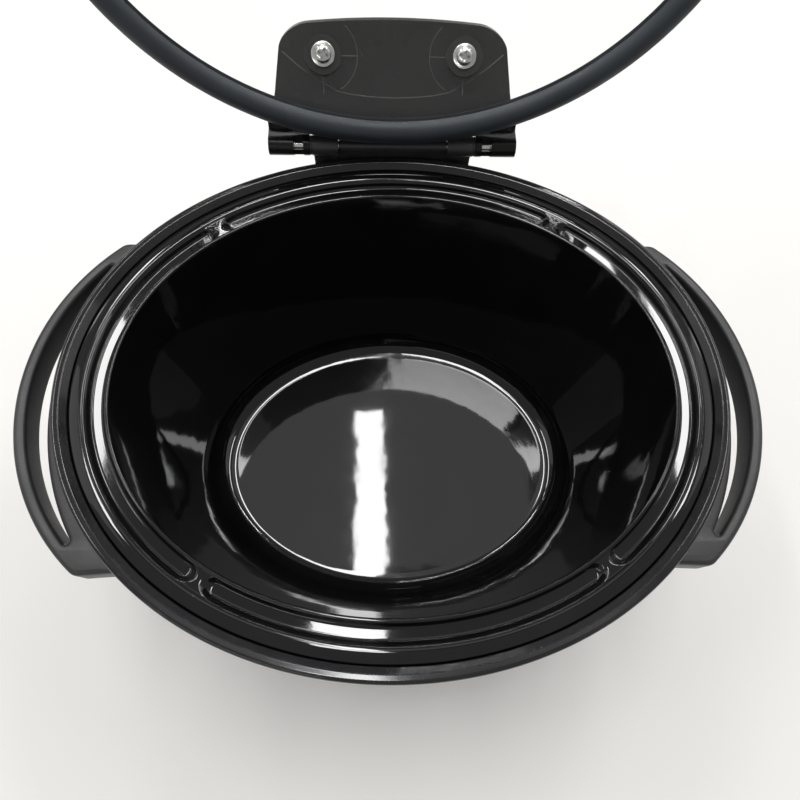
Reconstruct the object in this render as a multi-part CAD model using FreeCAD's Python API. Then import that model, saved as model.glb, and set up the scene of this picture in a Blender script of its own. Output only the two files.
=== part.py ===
import FreeCAD, Part
import math
import os

V = FreeCAD.Vector

# Overall sizes, in millimetres
mouth_length = 286.0
mouth_width = 228.0
inside_depth = 148.0
foot_height = 9.0
under_space = 20.0

# Crock
crock_wall = 8.0
crock_floor = 9.0
wall_lean = 21.0
floor_round = 14.0
channel_start = 2.9
channel_end = 9.6
channel_depth = 4.0
flange_reach = 19.3
flange_drop = 8.0
ridge_radius = 3.2
ridge_angle = 51.0
ridge_turn = 1.5

# Base
rim_gap = 0.45
slip = 0.05
well_gap = 3.5
well_sheet = 1.0
crock_floor_gap = 3.0
ledge_thickness = 2.5
collar_width = 7.15
collar_slope = 3.0
collar_rise = 2.6
skirt_drop = 14.0
house_sheet = 1.2
skirt_wall = 2.75
house_foot_reach = 12.0
house_bend_drop = 38.0
house_bend_radius = 150.0
plate_sheet = 1.5
band_thickness = 2.5
band_height = 52.0

# Base handles
handle_stand = 28.9
handle_radius = 120.0
handle_bar = 6.5
handle_height = 17.0
handle_end = 4.25
handle_corner = 7.0
handle_edge = 2.8
slot_web = 11.6
slot_inner_radius = 140.7

# Controls
knob_rise = 56.0
knob_radius = 18.0
knob_depth = 11.0
panel_width = 96.0
panel_height = 80.0
panel_thickness = 3.0
boss_rise = 1.6
lamp_side = 33.0
shaft_radius = 3.0
run_gap = 0.05

# Lid and hinge
gasket_inset = 2.3
gasket_radius = 6.8
gasket_gap = 0.6
glass_thickness = 4.5
dome_edge = 7.5
dome_slope = 38.0
open_angle = 110.0
pin_gap = 0.2
pin_lift = 3.1
pin_radius = 2.5
ear_radius = 5.5
ear_inner = 47.0
ear_outer = 70.0
knuckle_half = 45.5
knuckle_bare = 31.0
screw_side = 36.5
screw_inset = 14.0
plate_thickness = 4.0
plate_gap = 2.4
bush_radius = 9.5
lid_handle_forward = 20.0
lid_handle_post = 47.0
lid_handle_height = 31.0
lid_handle_gap = 2.0
lid_handle_depth = 18.0
head_gap = 2.0

# Sizes that follow from those above
half_long = mouth_length / 2
half_wide = mouth_width / 2
tight = half_wide * half_wide / half_long
core_inset = 0.55 * tight
floor_cut = 0.68 * tight
dome_flat = 0.64 * tight
dome_core = 0.70 * tight
dome_cut = 0.77 * tight
crock_base = inside_depth + crock_floor
well_floor = crock_base + crock_floor_gap
well_under = well_floor + well_sheet
rim = foot_height + plate_sheet + under_space + well_under
collar_reach = flange_reach + rim_gap + collar_width
house_top_reach = collar_reach - skirt_wall - slip
handle_centre = half_long + house_top_reach + handle_stand - handle_radius
slot_centre = half_long + house_top_reach + slot_web - slot_inner_radius
slot_outer_radius = handle_radius - handle_bar
slot_shift = handle_centre - slot_centre
slot_tip = (slot_inner_radius ** 2 - slot_outer_radius ** 2 - slot_shift ** 2) / (2 * slot_shift)
slot_half = math.sqrt(slot_outer_radius ** 2 - slot_tip ** 2)
handle_half = slot_half + handle_end
well_lip = flange_reach - 2.3
plate_top = plate_sheet + foot_height - rim
plate_under = foot_height - rim
wall_slope = wall_lean / inside_depth
ledge_top = -flange_drop - slip
ledge_under = ledge_top - ledge_thickness
gasket_reach = flange_reach - gasket_inset
gasket_lift = gasket_radius + gasket_gap
pin_back = collar_reach + pin_gap
pin_rise = gasket_lift + pin_lift
pin_y = half_wide + pin_back
pin_z = rim + pin_rise
slope = math.radians(dome_slope)
dome_radius = (dome_flat + dome_edge) / math.sin(slope)
glass_low = gasket_lift - glass_thickness / 2
dome_top = glass_low + dome_radius * (1 - math.cos(slope))
dome_centre = dome_top - dome_radius


def corner(before, here, after, radius):
    """Start, middle and end of the arc that rounds one corner."""
    ax = before[0] - here[0]
    ay = before[1] - here[1]
    bx = after[0] - here[0]
    by = after[1] - here[1]
    la = math.hypot(ax, ay)
    lb = math.hypot(bx, by)
    ax, ay, bx, by = ax / la, ay / la, bx / lb, by / lb
    half = math.acos(max(-1.0, min(1.0, ax * bx + ay * by))) / 2
    back = radius / math.tan(half)
    start = (here[0] + ax * back, here[1] + ay * back)
    end = (here[0] + bx * back, here[1] + by * back)
    mx = ax + bx
    my = ay + by
    lm = math.hypot(mx, my)
    reach = radius / math.sin(half) - radius
    middle = (here[0] + mx / lm * reach, here[1] + my / lm * reach)
    return start, middle, end


def outline(points, place):
    """A closed wire through corners (p, q) or rounded corners (p, q, radius)."""
    count = len(points)
    bends = []
    for i, here in enumerate(points):
        if len(here) > 2:
            bends.append(corner(points[i - 1], here, points[(i + 1) % count], here[2]))
        else:
            bends.append((here, None, here))
    edges = []
    for i, (start, middle, end) in enumerate(bends):
        following = bends[(i + 1) % count][0]
        if middle:
            edges.append(Part.Arc(place(*start), place(*middle), place(*end)).toShape())
        if math.hypot(following[0] - end[0], following[1] - end[1]) > 1e-6:
            edges.append(Part.makeLine(place(*end[:2]), place(*following[:2])))
    return Part.Wire(edges)


def on_section(reach, height):
    """A point of the right-hand section: reach outward from the mouth, height from the rim."""
    return V(half_long + reach, 0, rim + height)


def sweep(section, start=0.0, end=360.0):
    """A section carried round the mouth oval at a fixed reach, between two angles of its formula."""
    oval = Part.Ellipse(V(0, 0, 0), half_long, half_wide)
    if end - start < 360:
        oval = Part.ArcOfEllipse(oval, math.radians(start), math.radians(end))
    pipe = Part.BRepOffsetAPI.MakePipeShell(Part.Wire([oval.toShape()]))
    pipe.setBiNormalMode(V(0, 0, 1))
    pipe.add(section, False, False)
    pipe.build()
    pipe.makeSolid()
    return pipe.shape()


def ring(points):
    """A swept ring from section corners."""
    return sweep(outline(points, on_section))


def part_ring(points, start, end):
    """A length of ring from section corners, between two angles."""
    return sweep(outline(points, lambda p, q: spot(start, p, q)), start, end)


def oval_plate(inset, low, high):
    """A flat oval plate inside the mouth oval, between two heights from the rim."""
    edge = Part.Ellipse(V(0, 0, rim + low), half_long - inset, half_wide - inset).toShape()
    return Part.Face(Part.Wire([edge])).extrude(V(0, 0, high - low))


def one(shape):
    """The single solid of a shape."""
    shape = shape.removeSplitter()
    if len(shape.Solids) != 1:
        raise ValueError("expected one solid, found %d" % len(shape.Solids))
    return shape.Solids[0]


def outward(angle):
    """The direction square to the oval at an angle of its formula, in degrees."""
    t = math.radians(angle)
    n = V(math.cos(t) / half_long, math.sin(t) / half_wide, 0)
    return n.normalize()


def spot(angle, reach, height):
    """A point at a reach from the mouth oval and a height from the rim."""
    t = math.radians(angle)
    edge = V(half_long * math.cos(t), half_wide * math.sin(t), rim + height)
    return edge + outward(angle) * reach


def place_along(shape, point, direction):
    """A shape built up the Z axis, moved to a point and turned to a direction."""
    moved = shape.copy()
    moved.Placement = FreeCAD.Placement(point, FreeCAD.Rotation(V(0, 0, 1), direction))
    return moved


def box(x0, x1, y0, y1, z0, z1):
    """A box between three pairs of bounds."""
    return Part.makeBox(x1 - x0, y1 - y0, z1 - z0, V(x0, y0, z0))


def rod(radius, low, high):
    """A round bar up the Z axis between two heights."""
    return Part.makeCylinder(radius, high - low, V(0, 0, low))


def hexagon(width, low, high):
    """A six-sided prism up the Z axis, given its width across flats."""
    reach = width / math.sqrt(3)
    turns = [k * math.pi / 3 for k in range(7)]
    corners = [V(reach * math.cos(t), reach * math.sin(t), low) for t in turns]
    return Part.Face(Part.makePolygon(corners)).extrude(V(0, 0, high - low))


def crock_outside(height):
    """Reach of the crock's outer wall at a height from the rim."""
    return crock_wall + wall_slope * height


def well_inside(height):
    """Reach of the heating well's inner wall at a height from the rim."""
    return crock_outside(height) + well_gap


def house_outside(height):
    """Reach of the housing's outer face at a height from the rim."""
    if height > -house_bend_drop:
        return house_top_reach
    share = (-house_bend_drop - height) / (-house_bend_drop - plate_top)
    return house_top_reach + (house_foot_reach - house_top_reach) * share


def front_y(side, reach):
    """Distance forward of the centre of a front face at a distance to one side."""
    wide = half_wide + reach
    long = half_long + reach
    return wide * math.sqrt(1 - (side / long) ** 2)


def glass_inside(reach):
    """Height above the rim of the glass's inner face at a reach."""
    return dome_centre + math.sqrt(dome_radius ** 2 - (reach + dome_flat) ** 2)


def glass_outside(reach):
    """Height above the rim of the glass's outer face at a reach."""
    outer = dome_radius + glass_thickness
    return dome_centre + math.sqrt(outer ** 2 - (reach + dome_flat) ** 2)


def make_crock():
    """Glazed stoneware crock with a channelled rim and four ridges across the channel."""
    body = ring([
        (-floor_cut, -inside_depth),
        (-wall_lean, -inside_depth, floor_round),
        (0, 0, 1.2),
        (1.6, 0, 0.8),
        (channel_start, -channel_depth, 1.4),
        (channel_end, -channel_depth, 1.4),
        (channel_end + 1.8, 0.3, 1.5),
        (flange_reach, -0.6, 3.0),
        (flange_reach - 0.7, -flange_drop, 1.5),
        (crock_outside(-flange_drop), -flange_drop, 2.0),
        (crock_outside(-crock_base), -crock_base, floor_round + 2),
        (-floor_cut, -crock_base),
    ])
    body = body.fuse(oval_plate(core_inset, -crock_base, -inside_depth))
    low = -channel_depth - ridge_radius + 3.4
    for angle in (ridge_angle, 180 - ridge_angle, 180 + ridge_angle, -ridge_angle):
        start = spot(angle + ridge_turn, 1.2, low)
        bar = Part.makeCylinder(ridge_radius, channel_end, start, outward(angle + ridge_turn))
        body = body.fuse(bar)
    return one(body)


def make_well():
    """Sheet-metal heating well that the crock hangs in."""
    sheet = well_sheet * math.sqrt(1 + wall_slope ** 2)
    body = ring([
        (well_lip, ledge_under),
        (well_inside(ledge_under), ledge_under, 2.0),
        (well_inside(-well_floor), -well_floor, floor_round),
        (-floor_cut, -well_floor),
        (-floor_cut, -well_under),
        (well_inside(-well_under) + sheet, -well_under, floor_round + well_sheet),
        (well_inside(ledge_under - well_sheet) + sheet, ledge_under - well_sheet, 1.0),
        (well_lip, ledge_under - well_sheet),
    ])
    return one(body.fuse(oval_plate(core_inset, -well_under, -well_floor)))


def make_collar():
    """Rim collar with the ledge that carries the crock's flange."""
    inner = flange_reach + rim_gap
    return one(ring([
        (inner, -0.4, 0.6),
        (inner + collar_slope, collar_rise - 0.4, 1.4),
        (collar_reach, collar_rise, 2.0),
        (collar_reach - 0.1, -skirt_drop, 0.5),
        (house_top_reach + slip, -skirt_drop, 0.3),
        (house_top_reach + slip, ledge_under),
        (crock_outside(ledge_under) + well_gap, ledge_under, 0.5),
        (crock_outside(ledge_under) + well_gap, ledge_top, 0.5),
        (inner, ledge_top, 0.5),
    ]))


def house_section(inner_step, outer_step, top, low):
    """Section of a wall that follows the housing, between two steps from its outer face."""
    bend = -house_bend_drop
    return [
        (house_top_reach + outer_step, top),
        (house_top_reach + outer_step, bend, house_bend_radius),
        (house_outside(low) + outer_step, low),
        (house_outside(low) + inner_step, low),
        (house_top_reach + inner_step, bend, house_bend_radius),
        (house_top_reach + inner_step, top),
    ]


def house_core():
    """The space inside the housing's outer face with a sliding gap, for cutting what lies on it."""
    return ring([
        (-floor_cut, 5.0),
        (house_top_reach + slip, 5.0),
        (house_top_reach + slip, -house_bend_drop, house_bend_radius),
        (house_outside(plate_top) + slip, plate_top),
        (-floor_cut, plate_top),
    ])


core = house_core()
knob_height = plate_top + knob_rise
panel_front = front_y(0, house_outside(knob_height) + slip + panel_thickness)
boss_face = panel_front + boss_rise
lamp_front = front_y(lamp_side, house_outside(knob_height) + slip + panel_thickness)
front = V(0, -1, 0)
gland_height = foot_height + plate_sheet + under_space * 0.55 - rim
handle_top = -skirt_drop
handle_screw_height = handle_top - handle_height / 2
handle_screw_angle = 14.0
knuckle_screw_angle = 10.5
knuckle_screw_height = -28.0
knuckle_foot = -42.0


def wall_screw(grip):
    """A pan-head screw up the Z axis whose head sits below zero and whose shank runs up."""
    head = rod(3.8, -2.5, 0)
    head = head.makeFillet(1.2, [head.Edges[2]])
    slot_a = box(-2.4, 2.4, -0.5, 0.5, -3.0, -1.4)
    slot_b = box(-0.5, 0.5, -2.4, 2.4, -3.0, -1.4)
    return one(head.fuse(rod(2.0, -0.5, grip)).cut(slot_a).cut(slot_b))


def wall_screw_places():
    """Angle and height of each screw driven out through the housing wall."""
    places = []
    for side in (0.0, 180.0):
        for step in (-handle_screw_angle, handle_screw_angle):
            places.append((side + step, handle_screw_height))
    for step in (-knuckle_screw_angle, knuckle_screw_angle):
        places.append((90.0 + step, knuckle_screw_height))
    return places


def wall_bore(angle, height, radius, inner, outer):
    """A round bar through the housing wall at a place on the oval."""
    start = spot(angle, inner, height)
    return Part.makeCylinder(radius, outer - inner, start, outward(angle))


def make_housing():
    """Outer sheet-metal housing, with the holes for screws, switch, lamp and gland."""
    shell = ring(house_section(-house_sheet, 0.0, ledge_under, plate_top))
    for angle, height in wall_screw_places():
        shell = shell.cut(wall_bore(angle, height, 2.2, house_top_reach - 8, house_top_reach + 8))
    reach = half_wide + house_top_reach
    switch_hole = Part.makeCylinder(5.0, 40, V(0, -reach + 20, rim + knob_height), front)
    lamp_hole = Part.makeCylinder(4.6, 40, V(lamp_side, -reach + 22, rim + knob_height), front)
    gland_hole = Part.makeCylinder(5.5, 40, V(0, reach + 10, rim + gland_height), front)
    return one(shell.cut(switch_hole).cut(lamp_hole).cut(gland_hole))


foot_x = 0.66 * half_long
foot_y = 0.62 * half_wide
foot_spots = {
    "foot_front_left": (-foot_x, -foot_y),
    "foot_front_right": (foot_x, -foot_y),
    "foot_back_left": (-foot_x, foot_y),
    "foot_back_right": (foot_x, foot_y),
}


def make_base_plate():
    """Base plate that closes the housing from below."""
    body = ring([
        (house_foot_reach + 0.8, plate_top),
        (-floor_cut, plate_top),
        (-floor_cut, plate_under),
        (house_foot_reach + 0.8, plate_under, 0.7),
    ])
    body = body.fuse(oval_plate(core_inset, plate_under, plate_top))
    body = body.cut(rod(2.8, 0, rim))
    for x, y in foot_spots.values():
        body = body.cut(Part.makeCylinder(2.1, rim, V(x, y, 0)))
    return one(body)


def make_foot(x, y):
    """Rubber foot with a pocket for its screw."""
    body = Part.makeCone(9.5, 11.0, foot_height)
    body = body.cut(rod(5.0, 0, 4.5)).cut(rod(2.1, 0, foot_height))
    body.translate(V(x, y, 0))
    return one(body)


def make_foot_screw(x, y):
    """Screw that holds a foot to the base plate."""
    head = rod(4.0, 2.2, 4.5)
    body = head.fuse(rod(2.0, 4.0, foot_height + plate_sheet + 4))
    body = body.cut(box(-2.4, 2.4, -0.5, 0.5, 2.0, 3.4)).cut(box(-0.5, 0.5, -2.4, 2.4, 2.0, 3.4))
    body.translate(V(x, y, 0))
    return one(body)


def make_band():
    """Heating band round the well, split at the back, and the clamp across its split."""
    sheet = well_sheet * math.sqrt(1 + wall_slope ** 2)
    low = -well_under + floor_round + well_sheet + 3.0
    high = low + band_height
    near = sheet + slip
    far = near + band_thickness
    split_angle = math.degrees(math.asin(7.0 / half_long))
    clamp_angle = math.degrees(math.asin(16.0 / half_long))
    body = part_ring([
        (well_inside(high) + near, high),
        (well_inside(high) + far, high),
        (well_inside(low) + far, low),
        (well_inside(low) + near, low),
    ], 90 + split_angle, 450 - split_angle)
    clamp = part_ring([
        (well_inside(high - 14) + far + slip, high - 14),
        (well_inside(high - 14) + far + 2.0, high - 14),
        (well_inside(low + 14) + far + 2.0, low + 14),
        (well_inside(low + 14) + far + slip, low + 14),
    ], 90 - clamp_angle, 90 + clamp_angle)
    return one(body), one(clamp)


def make_fuse():
    """Thermal fuse under the well floor and the clip that holds it."""
    middle = rim - well_under - 3.4
    fuse = Part.makeCylinder(3.0, 16, V(40, 0, middle), V(1, 0, 0))
    clip = box(43, 53, -8, 8, rim - well_under - 7.4, rim - well_under)
    clip = clip.cut(Part.makeCylinder(3.05, 20, V(38, 0, middle), V(1, 0, 0)))
    return one(fuse), one(clip)


def make_panel():
    """Control panel that lies on the front of the housing."""
    low = knob_height - panel_height / 2
    high = knob_height + panel_height / 2
    low_reach = house_outside(low) + slip
    high_reach = house_outside(high) + slip
    half = panel_width / 2
    spread = math.degrees(math.asin((half + 12.0) / half_long))
    shell = part_ring([
        (high_reach, high),
        (high_reach + panel_thickness, high, 1.2),
        (low_reach + panel_thickness, low, 1.2),
        (low_reach, low),
    ], 270 - spread, 270 + spread)
    frame = outline(
        [(-half, low, 12.0), (half, low, 12.0), (half, high, 12.0), (-half, high, 12.0)],
        lambda p, q: V(p, 0, rim + q),
    )
    body = shell.common(Part.Face(frame).extrude(front * (half_wide + 60)))
    behind = part_ring([
        (high_reach - 20.0, high),
        (high_reach + panel_thickness / 2, high),
        (low_reach + panel_thickness / 2, low),
        (low_reach - 20.0, low),
    ], 270 - spread, 270 + spread)
    boss = rod(knob_radius + 2.5, -boss_rise - 8.0, 0)
    boss = boss.makeFillet(0.8, [boss.Edges[0]])
    boss = place_along(boss, V(0, -boss_face, rim + knob_height), front)
    bezel = Part.makeCone(6.8, 5.4, 4.4)
    bezel = place_along(bezel, V(lamp_side, -lamp_front + 3.0, rim + knob_height), front)
    body = body.fuse(boss.cut(behind)).fuse(bezel.cut(behind))
    hole = Part.makeCylinder(5.0, 60, V(0, -half_wide + 5, rim + knob_height), front)
    lens_hole = Part.makeCylinder(3.55, 60, V(lamp_side, -half_wide + 5, rim + knob_height), front)
    return one(body.cut(hole).cut(lens_hole))


def make_switch():
    """Rotary switch with its bushing, its nut, its shaft, and how far forward its face lies."""
    low = knob_height - 13
    face = front_y(14, house_outside(low) - house_sheet) - 0.4
    body = box(-14, 14, -face, -face + 12, rim + low, rim + knob_height + 13)
    for side in (-6.0, 0.0, 6.0):
        tab = box(side - 1.6, side + 1.6, -face + 5.5, -face + 6.5, rim + low - 6, rim + low + 1)
        body = body.fuse(tab)
    bushing = rod(4.8, -0.5, boss_face - face + 3.2)
    body = body.fuse(place_along(bushing, V(0, -face, rim + knob_height), front))
    bore = rod(shaft_radius + run_gap, -7, 40)
    body = body.cut(place_along(bore, V(0, -face, rim + knob_height), front))
    nut = hexagon(13.0, 0, 2.4).cut(rod(4.82, -1, 4))
    nut = place_along(nut, V(0, -boss_face, rim + knob_height), front)
    shaft = rod(shaft_radius, -6.5, boss_face - face + 0.6 + 8.0)
    shaft = place_along(shaft, V(0, -face, rim + knob_height), front)
    return one(body), one(nut), one(shaft), face


def make_knob():
    """Control knob and its inlaid pointer."""
    skirt = Part.makeCone(knob_radius, knob_radius - 1.2, 4.0)
    grip_half = knob_radius - 3.0
    grip_outline = outline(
        [(-grip_half, -5.0, 4.0), (grip_half, -5.0, 4.0), (grip_half, 5.0, 4.0), (-grip_half, 5.0, 4.0)],
        lambda p, q: V(p, q, 3.0),
    )
    grip = Part.Face(grip_outline).extrude(V(0, 0, knob_depth - 3.0))
    hub = Part.makeCone(9.0, 7.5, knob_depth - 1.0)
    body = skirt.fuse(grip).fuse(hub)
    body = body.cut(rod(9.6, -1, 3.6)).cut(rod(shaft_radius + 0.02, -1, 8.6))
    line = box(3.0, grip_half - 2.0, -0.8, 0.8, knob_depth - 0.6, knob_depth)
    body = body.cut(line)
    turn = FreeCAD.Rotation(V(0, 0, 1), V(0, -1, 0)).multiply(FreeCAD.Rotation(V(0, 0, 1), 157.5))
    place = FreeCAD.Placement(V(0, -boss_face - 0.6, rim + knob_height), turn)
    body.Placement = place
    line.Placement = place.multiply(line.Placement)
    return one(body), one(line)


def make_lamp():
    """Indicator lens in the panel and the lamp behind it."""
    height = rim + knob_height
    lens = rod(3.5, -8.5, 3.4)
    lens = lens.makeFillet(1.6, [lens.Edges[0]])
    lens = place_along(lens, V(lamp_side, -lamp_front + 1.6, height), front)
    lamp = rod(4.0, -19.0, -8.5)
    lamp = place_along(lamp, V(lamp_side, -lamp_front + 1.6, height), front)
    return one(lens), one(lamp)


def make_gland(housing):
    """Cord gland at the back, without the cord."""
    height = rim + gland_height
    wall = front_y(0, house_outside(gland_height))
    outer = Part.makeCone(8.5, 7.0, 6.0)
    body = outer.fuse(rod(5.45, -9.0, 1.0)).fuse(rod(7.5, -6.0, 1.0))
    body = place_along(body, V(0, wall, height), V(0, 1, 0)).cut(housing)
    body = body.cut(Part.makeCylinder(3.0, 60, V(0, wall + 20, height), front))
    return one(body)


def make_wires(switch_face):
    """Two lead wires from the gland to the switch."""
    height = rim + gland_height
    back = front_y(0, house_outside(gland_height)) - 9.0
    rise_y = -switch_face + 9.5
    top = rim + knob_height - 13
    wires = []
    for side in (-1, 1):
        curve = Part.BSplineCurve()
        curve.interpolate([
            V(side * 1.5, back + 6.0, height),
            V(side * 1.5, back - 2.0, height),
            V(side * 7.0, back - 42.0, height),
            V(side * 7.0, rise_y + 50.0, height),
            V(side * 6.5, rise_y + 5.0, height + 6.0),
            V(side * 6.5, rise_y, top - 10.0),
            V(side * 6.5, rise_y, top - 0.2),
        ])
        path = Part.Wire([curve.toShape()])
        way = curve.tangent(curve.FirstParameter)[0]
        circle = Part.Wire([Part.Circle(V(side * 1.5, back + 6.0, height), way, 1.4).toShape()])
        wires.append(one(path.makePipeShell([circle], True, True)))
    return wires


def make_handle():
    """Right-hand handle with a round outer edge, square ends and a slot behind its bar."""
    low = rim + handle_top - handle_height
    root = half_long - 20
    disc = Part.makeCylinder(handle_radius, handle_height, V(handle_centre, 0, low))
    disc = disc.common(box(root, root + 200, -handle_half, handle_half, low - 1, rim + handle_top + 1))
    outer = [e for e in disc.Edges if e.BoundBox.XMax > root + 1]
    upright = [e for e in outer if e.BoundBox.ZLength > 1 and e.BoundBox.YLength < 0.01]
    disc = disc.makeFillet(handle_corner, upright)
    outer = [e for e in disc.Edges if e.BoundBox.XMax > root + 1]
    disc = disc.makeFillet(handle_edge, [e for e in outer if e.BoundBox.ZLength < 0.01])
    slot = Part.makeCylinder(slot_outer_radius, 60, V(handle_centre, 0, low - 20))
    slot = slot.cut(Part.makeCylinder(slot_inner_radius, 60, V(slot_centre, 0, low - 20)))
    body = disc.cut(slot).cut(core)
    body = max(body.Solids, key=lambda s: s.CenterOfMass.x)
    for angle in (-handle_screw_angle, handle_screw_angle):
        hole = wall_bore(angle, handle_screw_height, 2.02, house_top_reach, house_top_reach + 9.2)
        body = body.cut(hole)
    return one(body)


def mirrored(shape):
    """The left-hand twin of a right-hand shape."""
    return shape.mirror(V(0, 0, 0), V(1, 0, 0)).Solids[0]


def knuckle_radius():
    """Barrel radius that keeps clear of the gasket as the lid turns."""
    long = half_long + gasket_reach
    wide = half_wide + gasket_reach
    sag = wide * (1 - math.sqrt(1 - (knuckle_bare / long) ** 2))
    away = math.hypot(pin_back - gasket_reach + sag, pin_rise - gasket_lift)
    return min(ear_radius, away - gasket_radius - 0.6)


def make_knuckle():
    """Hinge knuckle behind the collar, with two barrels for the pin."""
    behind = half_wide + collar_reach + 0.4
    back = pin_y + 7.0
    low = rim + knuckle_foot
    step = rim - skirt_drop - slip
    lower = box(-knuckle_half, knuckle_half, half_wide - 15, back, low, step)
    lower = lower.cut(core)
    lower = max(lower.Solids, key=lambda s: s.CenterOfMass.y)
    body = lower.fuse(box(-knuckle_half, knuckle_half, behind, back, step - 1, pin_z - 4.2))
    radius = knuckle_radius()
    for side in (-knuckle_half, knuckle_bare):
        width = knuckle_half - knuckle_bare
        body = body.fuse(box(side, side + width, behind, pin_y + radius, pin_z - 6, pin_z))
        body = body.fuse(Part.makeCylinder(radius, width, V(side, pin_y, pin_z), V(1, 0, 0)))
    body = body.cut(Part.makeCylinder(pin_radius + run_gap, 200, V(-100, pin_y, pin_z), V(1, 0, 0)))
    reach = house_top_reach
    for angle in (90 - knuckle_screw_angle, 90 + knuckle_screw_angle):
        body = body.cut(wall_bore(angle, knuckle_screw_height, 2.02, reach, reach + 8))
    return one(body)


def make_glass():
    """Domed glass lid in its closed place."""
    outer = dome_radius + glass_thickness
    edge = gasket_reach - 0.5
    low = glass_low
    high = glass_low + glass_thickness
    meet = -dome_flat + math.sqrt(outer ** 2 - (high - dome_centre) ** 2)
    half = math.asin((meet + dome_flat) / outer) / 2
    quarter = slope / 2
    inner_high = dome_centre + dome_radius * math.cos(quarter)
    inner_mid = (-dome_flat + dome_radius * math.sin(quarter), inner_high)
    outer_mid = (-dome_flat + outer * math.sin(half), dome_centre + outer * math.cos(half))
    top = dome_top + glass_thickness
    p = on_section
    section = Part.Wire([
        Part.makeLine(p(edge, low), p(dome_edge, low)),
        Part.Arc(p(dome_edge, low), p(*inner_mid), p(-dome_flat, dome_top)).toShape(),
        Part.makeLine(p(-dome_flat, dome_top), p(-dome_cut, dome_top)),
        Part.makeLine(p(-dome_cut, dome_top), p(-dome_cut, top)),
        Part.makeLine(p(-dome_cut, top), p(-dome_flat, top)),
        Part.Arc(p(-dome_flat, top), p(*outer_mid), p(meet, high)).toShape(),
        Part.makeLine(p(meet, high), p(edge, high)),
        Part.makeLine(p(edge, high), p(edge, low)),
    ])
    body = sweep(section).fuse(oval_plate(dome_core, dome_top, top))
    body = one(body)
    for point, direction in lid_screw_places():
        hole = place_along(rod(3.6, -12, 12), point, direction)
        body = body.cut(hole)
    return one(body)


def make_gasket():
    """Rubber ring round the edge of the glass, with a slot that grips the edge."""
    low = glass_low
    high = glass_low + glass_thickness
    half = glass_thickness / 2
    mouth = gasket_reach - math.sqrt(gasket_radius ** 2 - half ** 2)
    deep = gasket_reach - 0.4
    p = on_section
    under = p(gasket_reach, gasket_lift - gasket_radius)
    outer = p(gasket_reach + gasket_radius, gasket_lift)
    above = p(gasket_reach, gasket_lift + gasket_radius)
    section = Part.Wire([
        Part.makeLine(p(mouth, high), p(deep, high)),
        Part.makeLine(p(deep, high), p(deep, low)),
        Part.makeLine(p(deep, low), p(mouth, low)),
        Part.Arc(p(mouth, low), under, outer).toShape(),
        Part.Arc(outer, above, p(mouth, high)).toShape(),
    ])
    return one(sweep(section))


def lid_screw_places():
    """Point on the glass's inner face and outward direction for each lid screw."""
    places = []
    lean = math.asin((dome_flat - screw_inset) / dome_radius)
    for side in (1, -1):
        angle = math.degrees(math.acos(side * screw_side / (half_long - screw_inset)))
        direction = outward(angle) * math.sin(lean) + V(0, 0, math.cos(lean))
        places.append((spot(angle, -screw_inset, glass_inside(-screw_inset)), direction))
    for side in (1, -1):
        places.append((V(side * lid_handle_post, -lid_handle_forward, rim + dome_top), V(0, 0, 1)))
    return places


def lid_screw(grip):
    """A washer-head screw up the Z axis; its washer face lies at zero and its shank runs up."""
    flange = rod(6.2, -1.2, 0)
    head = rod(4.3, -3.9, -1.0)
    head = head.makeFillet(1.5, [head.Edges[2]])
    body = flange.fuse(head).fuse(rod(2.0, -0.5, grip))
    body = body.cut(box(-2.7, 2.7, -0.55, 0.55, -5, -2.2))
    return one(body.cut(box(-0.55, 0.55, -2.7, 2.7, -5, -2.2)))


plate_screw_tip = glass_thickness + plate_gap + plate_thickness - 1.2
handle_screw_tip = glass_thickness + lid_handle_gap + 9.5
plate_front = half_wide - 31.0
plate_back = pin_y - 7.0


def plate_stations():
    """Points (y, height above the rim) along the underside of the hinge plate, back to front."""
    over = gasket_lift + gasket_radius + 0.7
    points = [(plate_back, over), (half_wide + 8.0, over + 0.8)]
    for reach in (-4.0, -16.0, plate_front - half_wide):
        points.append((half_wide + reach, glass_outside(reach) + plate_gap))
    return points


def make_hinge_plate():
    """Hinge plate on the outside of the glass, with two ears for the pin."""
    under = plate_stations()
    over = [(y, z + plate_thickness) for y, z in reversed(under)]
    side = outline(under + over, lambda p, q: V(-100, p, rim + q))
    slab = Part.Face(side).extrude(V(200, 0, 0))
    plan = outline(
        [
            (-ear_outer + 2, plate_back),
            (-ear_outer + 11, plate_front, 16.0),
            (ear_outer - 11, plate_front, 16.0),
            (ear_outer - 2, plate_back),
        ],
        lambda p, q: V(p, q, rim - 20),
    )
    body = slab.common(Part.Face(plan).extrude(V(0, 0, 120)))
    web = [(-4.6, -2.8), (-7.6, 4.6), (-16.0, 4.8), (-16.0, 8.6), (-3.0, 8.6), (4.4, 3.2)]
    for start in (-ear_outer, ear_inner):
        width = ear_outer - ear_inner
        shape = outline(web, lambda p, q: V(start, pin_y + p, pin_z + q))
        body = body.fuse(Part.Face(shape).extrude(V(width, 0, 0)))
        body = body.fuse(Part.makeCylinder(ear_radius, width, V(start, pin_y, pin_z), V(1, 0, 0)))
    for start in (-ear_outer + 14.0, ear_inner + 3.5):
        body = body.cut(box(start, start + 5.5, pin_y - 9, pin_y + 9, pin_z - 12, pin_z - 0.4))
    body = body.cut(Part.makeCylinder(pin_radius + 0.02, 200, V(-100, pin_y, pin_z), V(1, 0, 0)))
    for point, direction in lid_screw_places()[:2]:
        body = body.cut(place_along(rod(2.02, -5, plate_screw_tip + 0.2), point, direction))
    return one(body)


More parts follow.
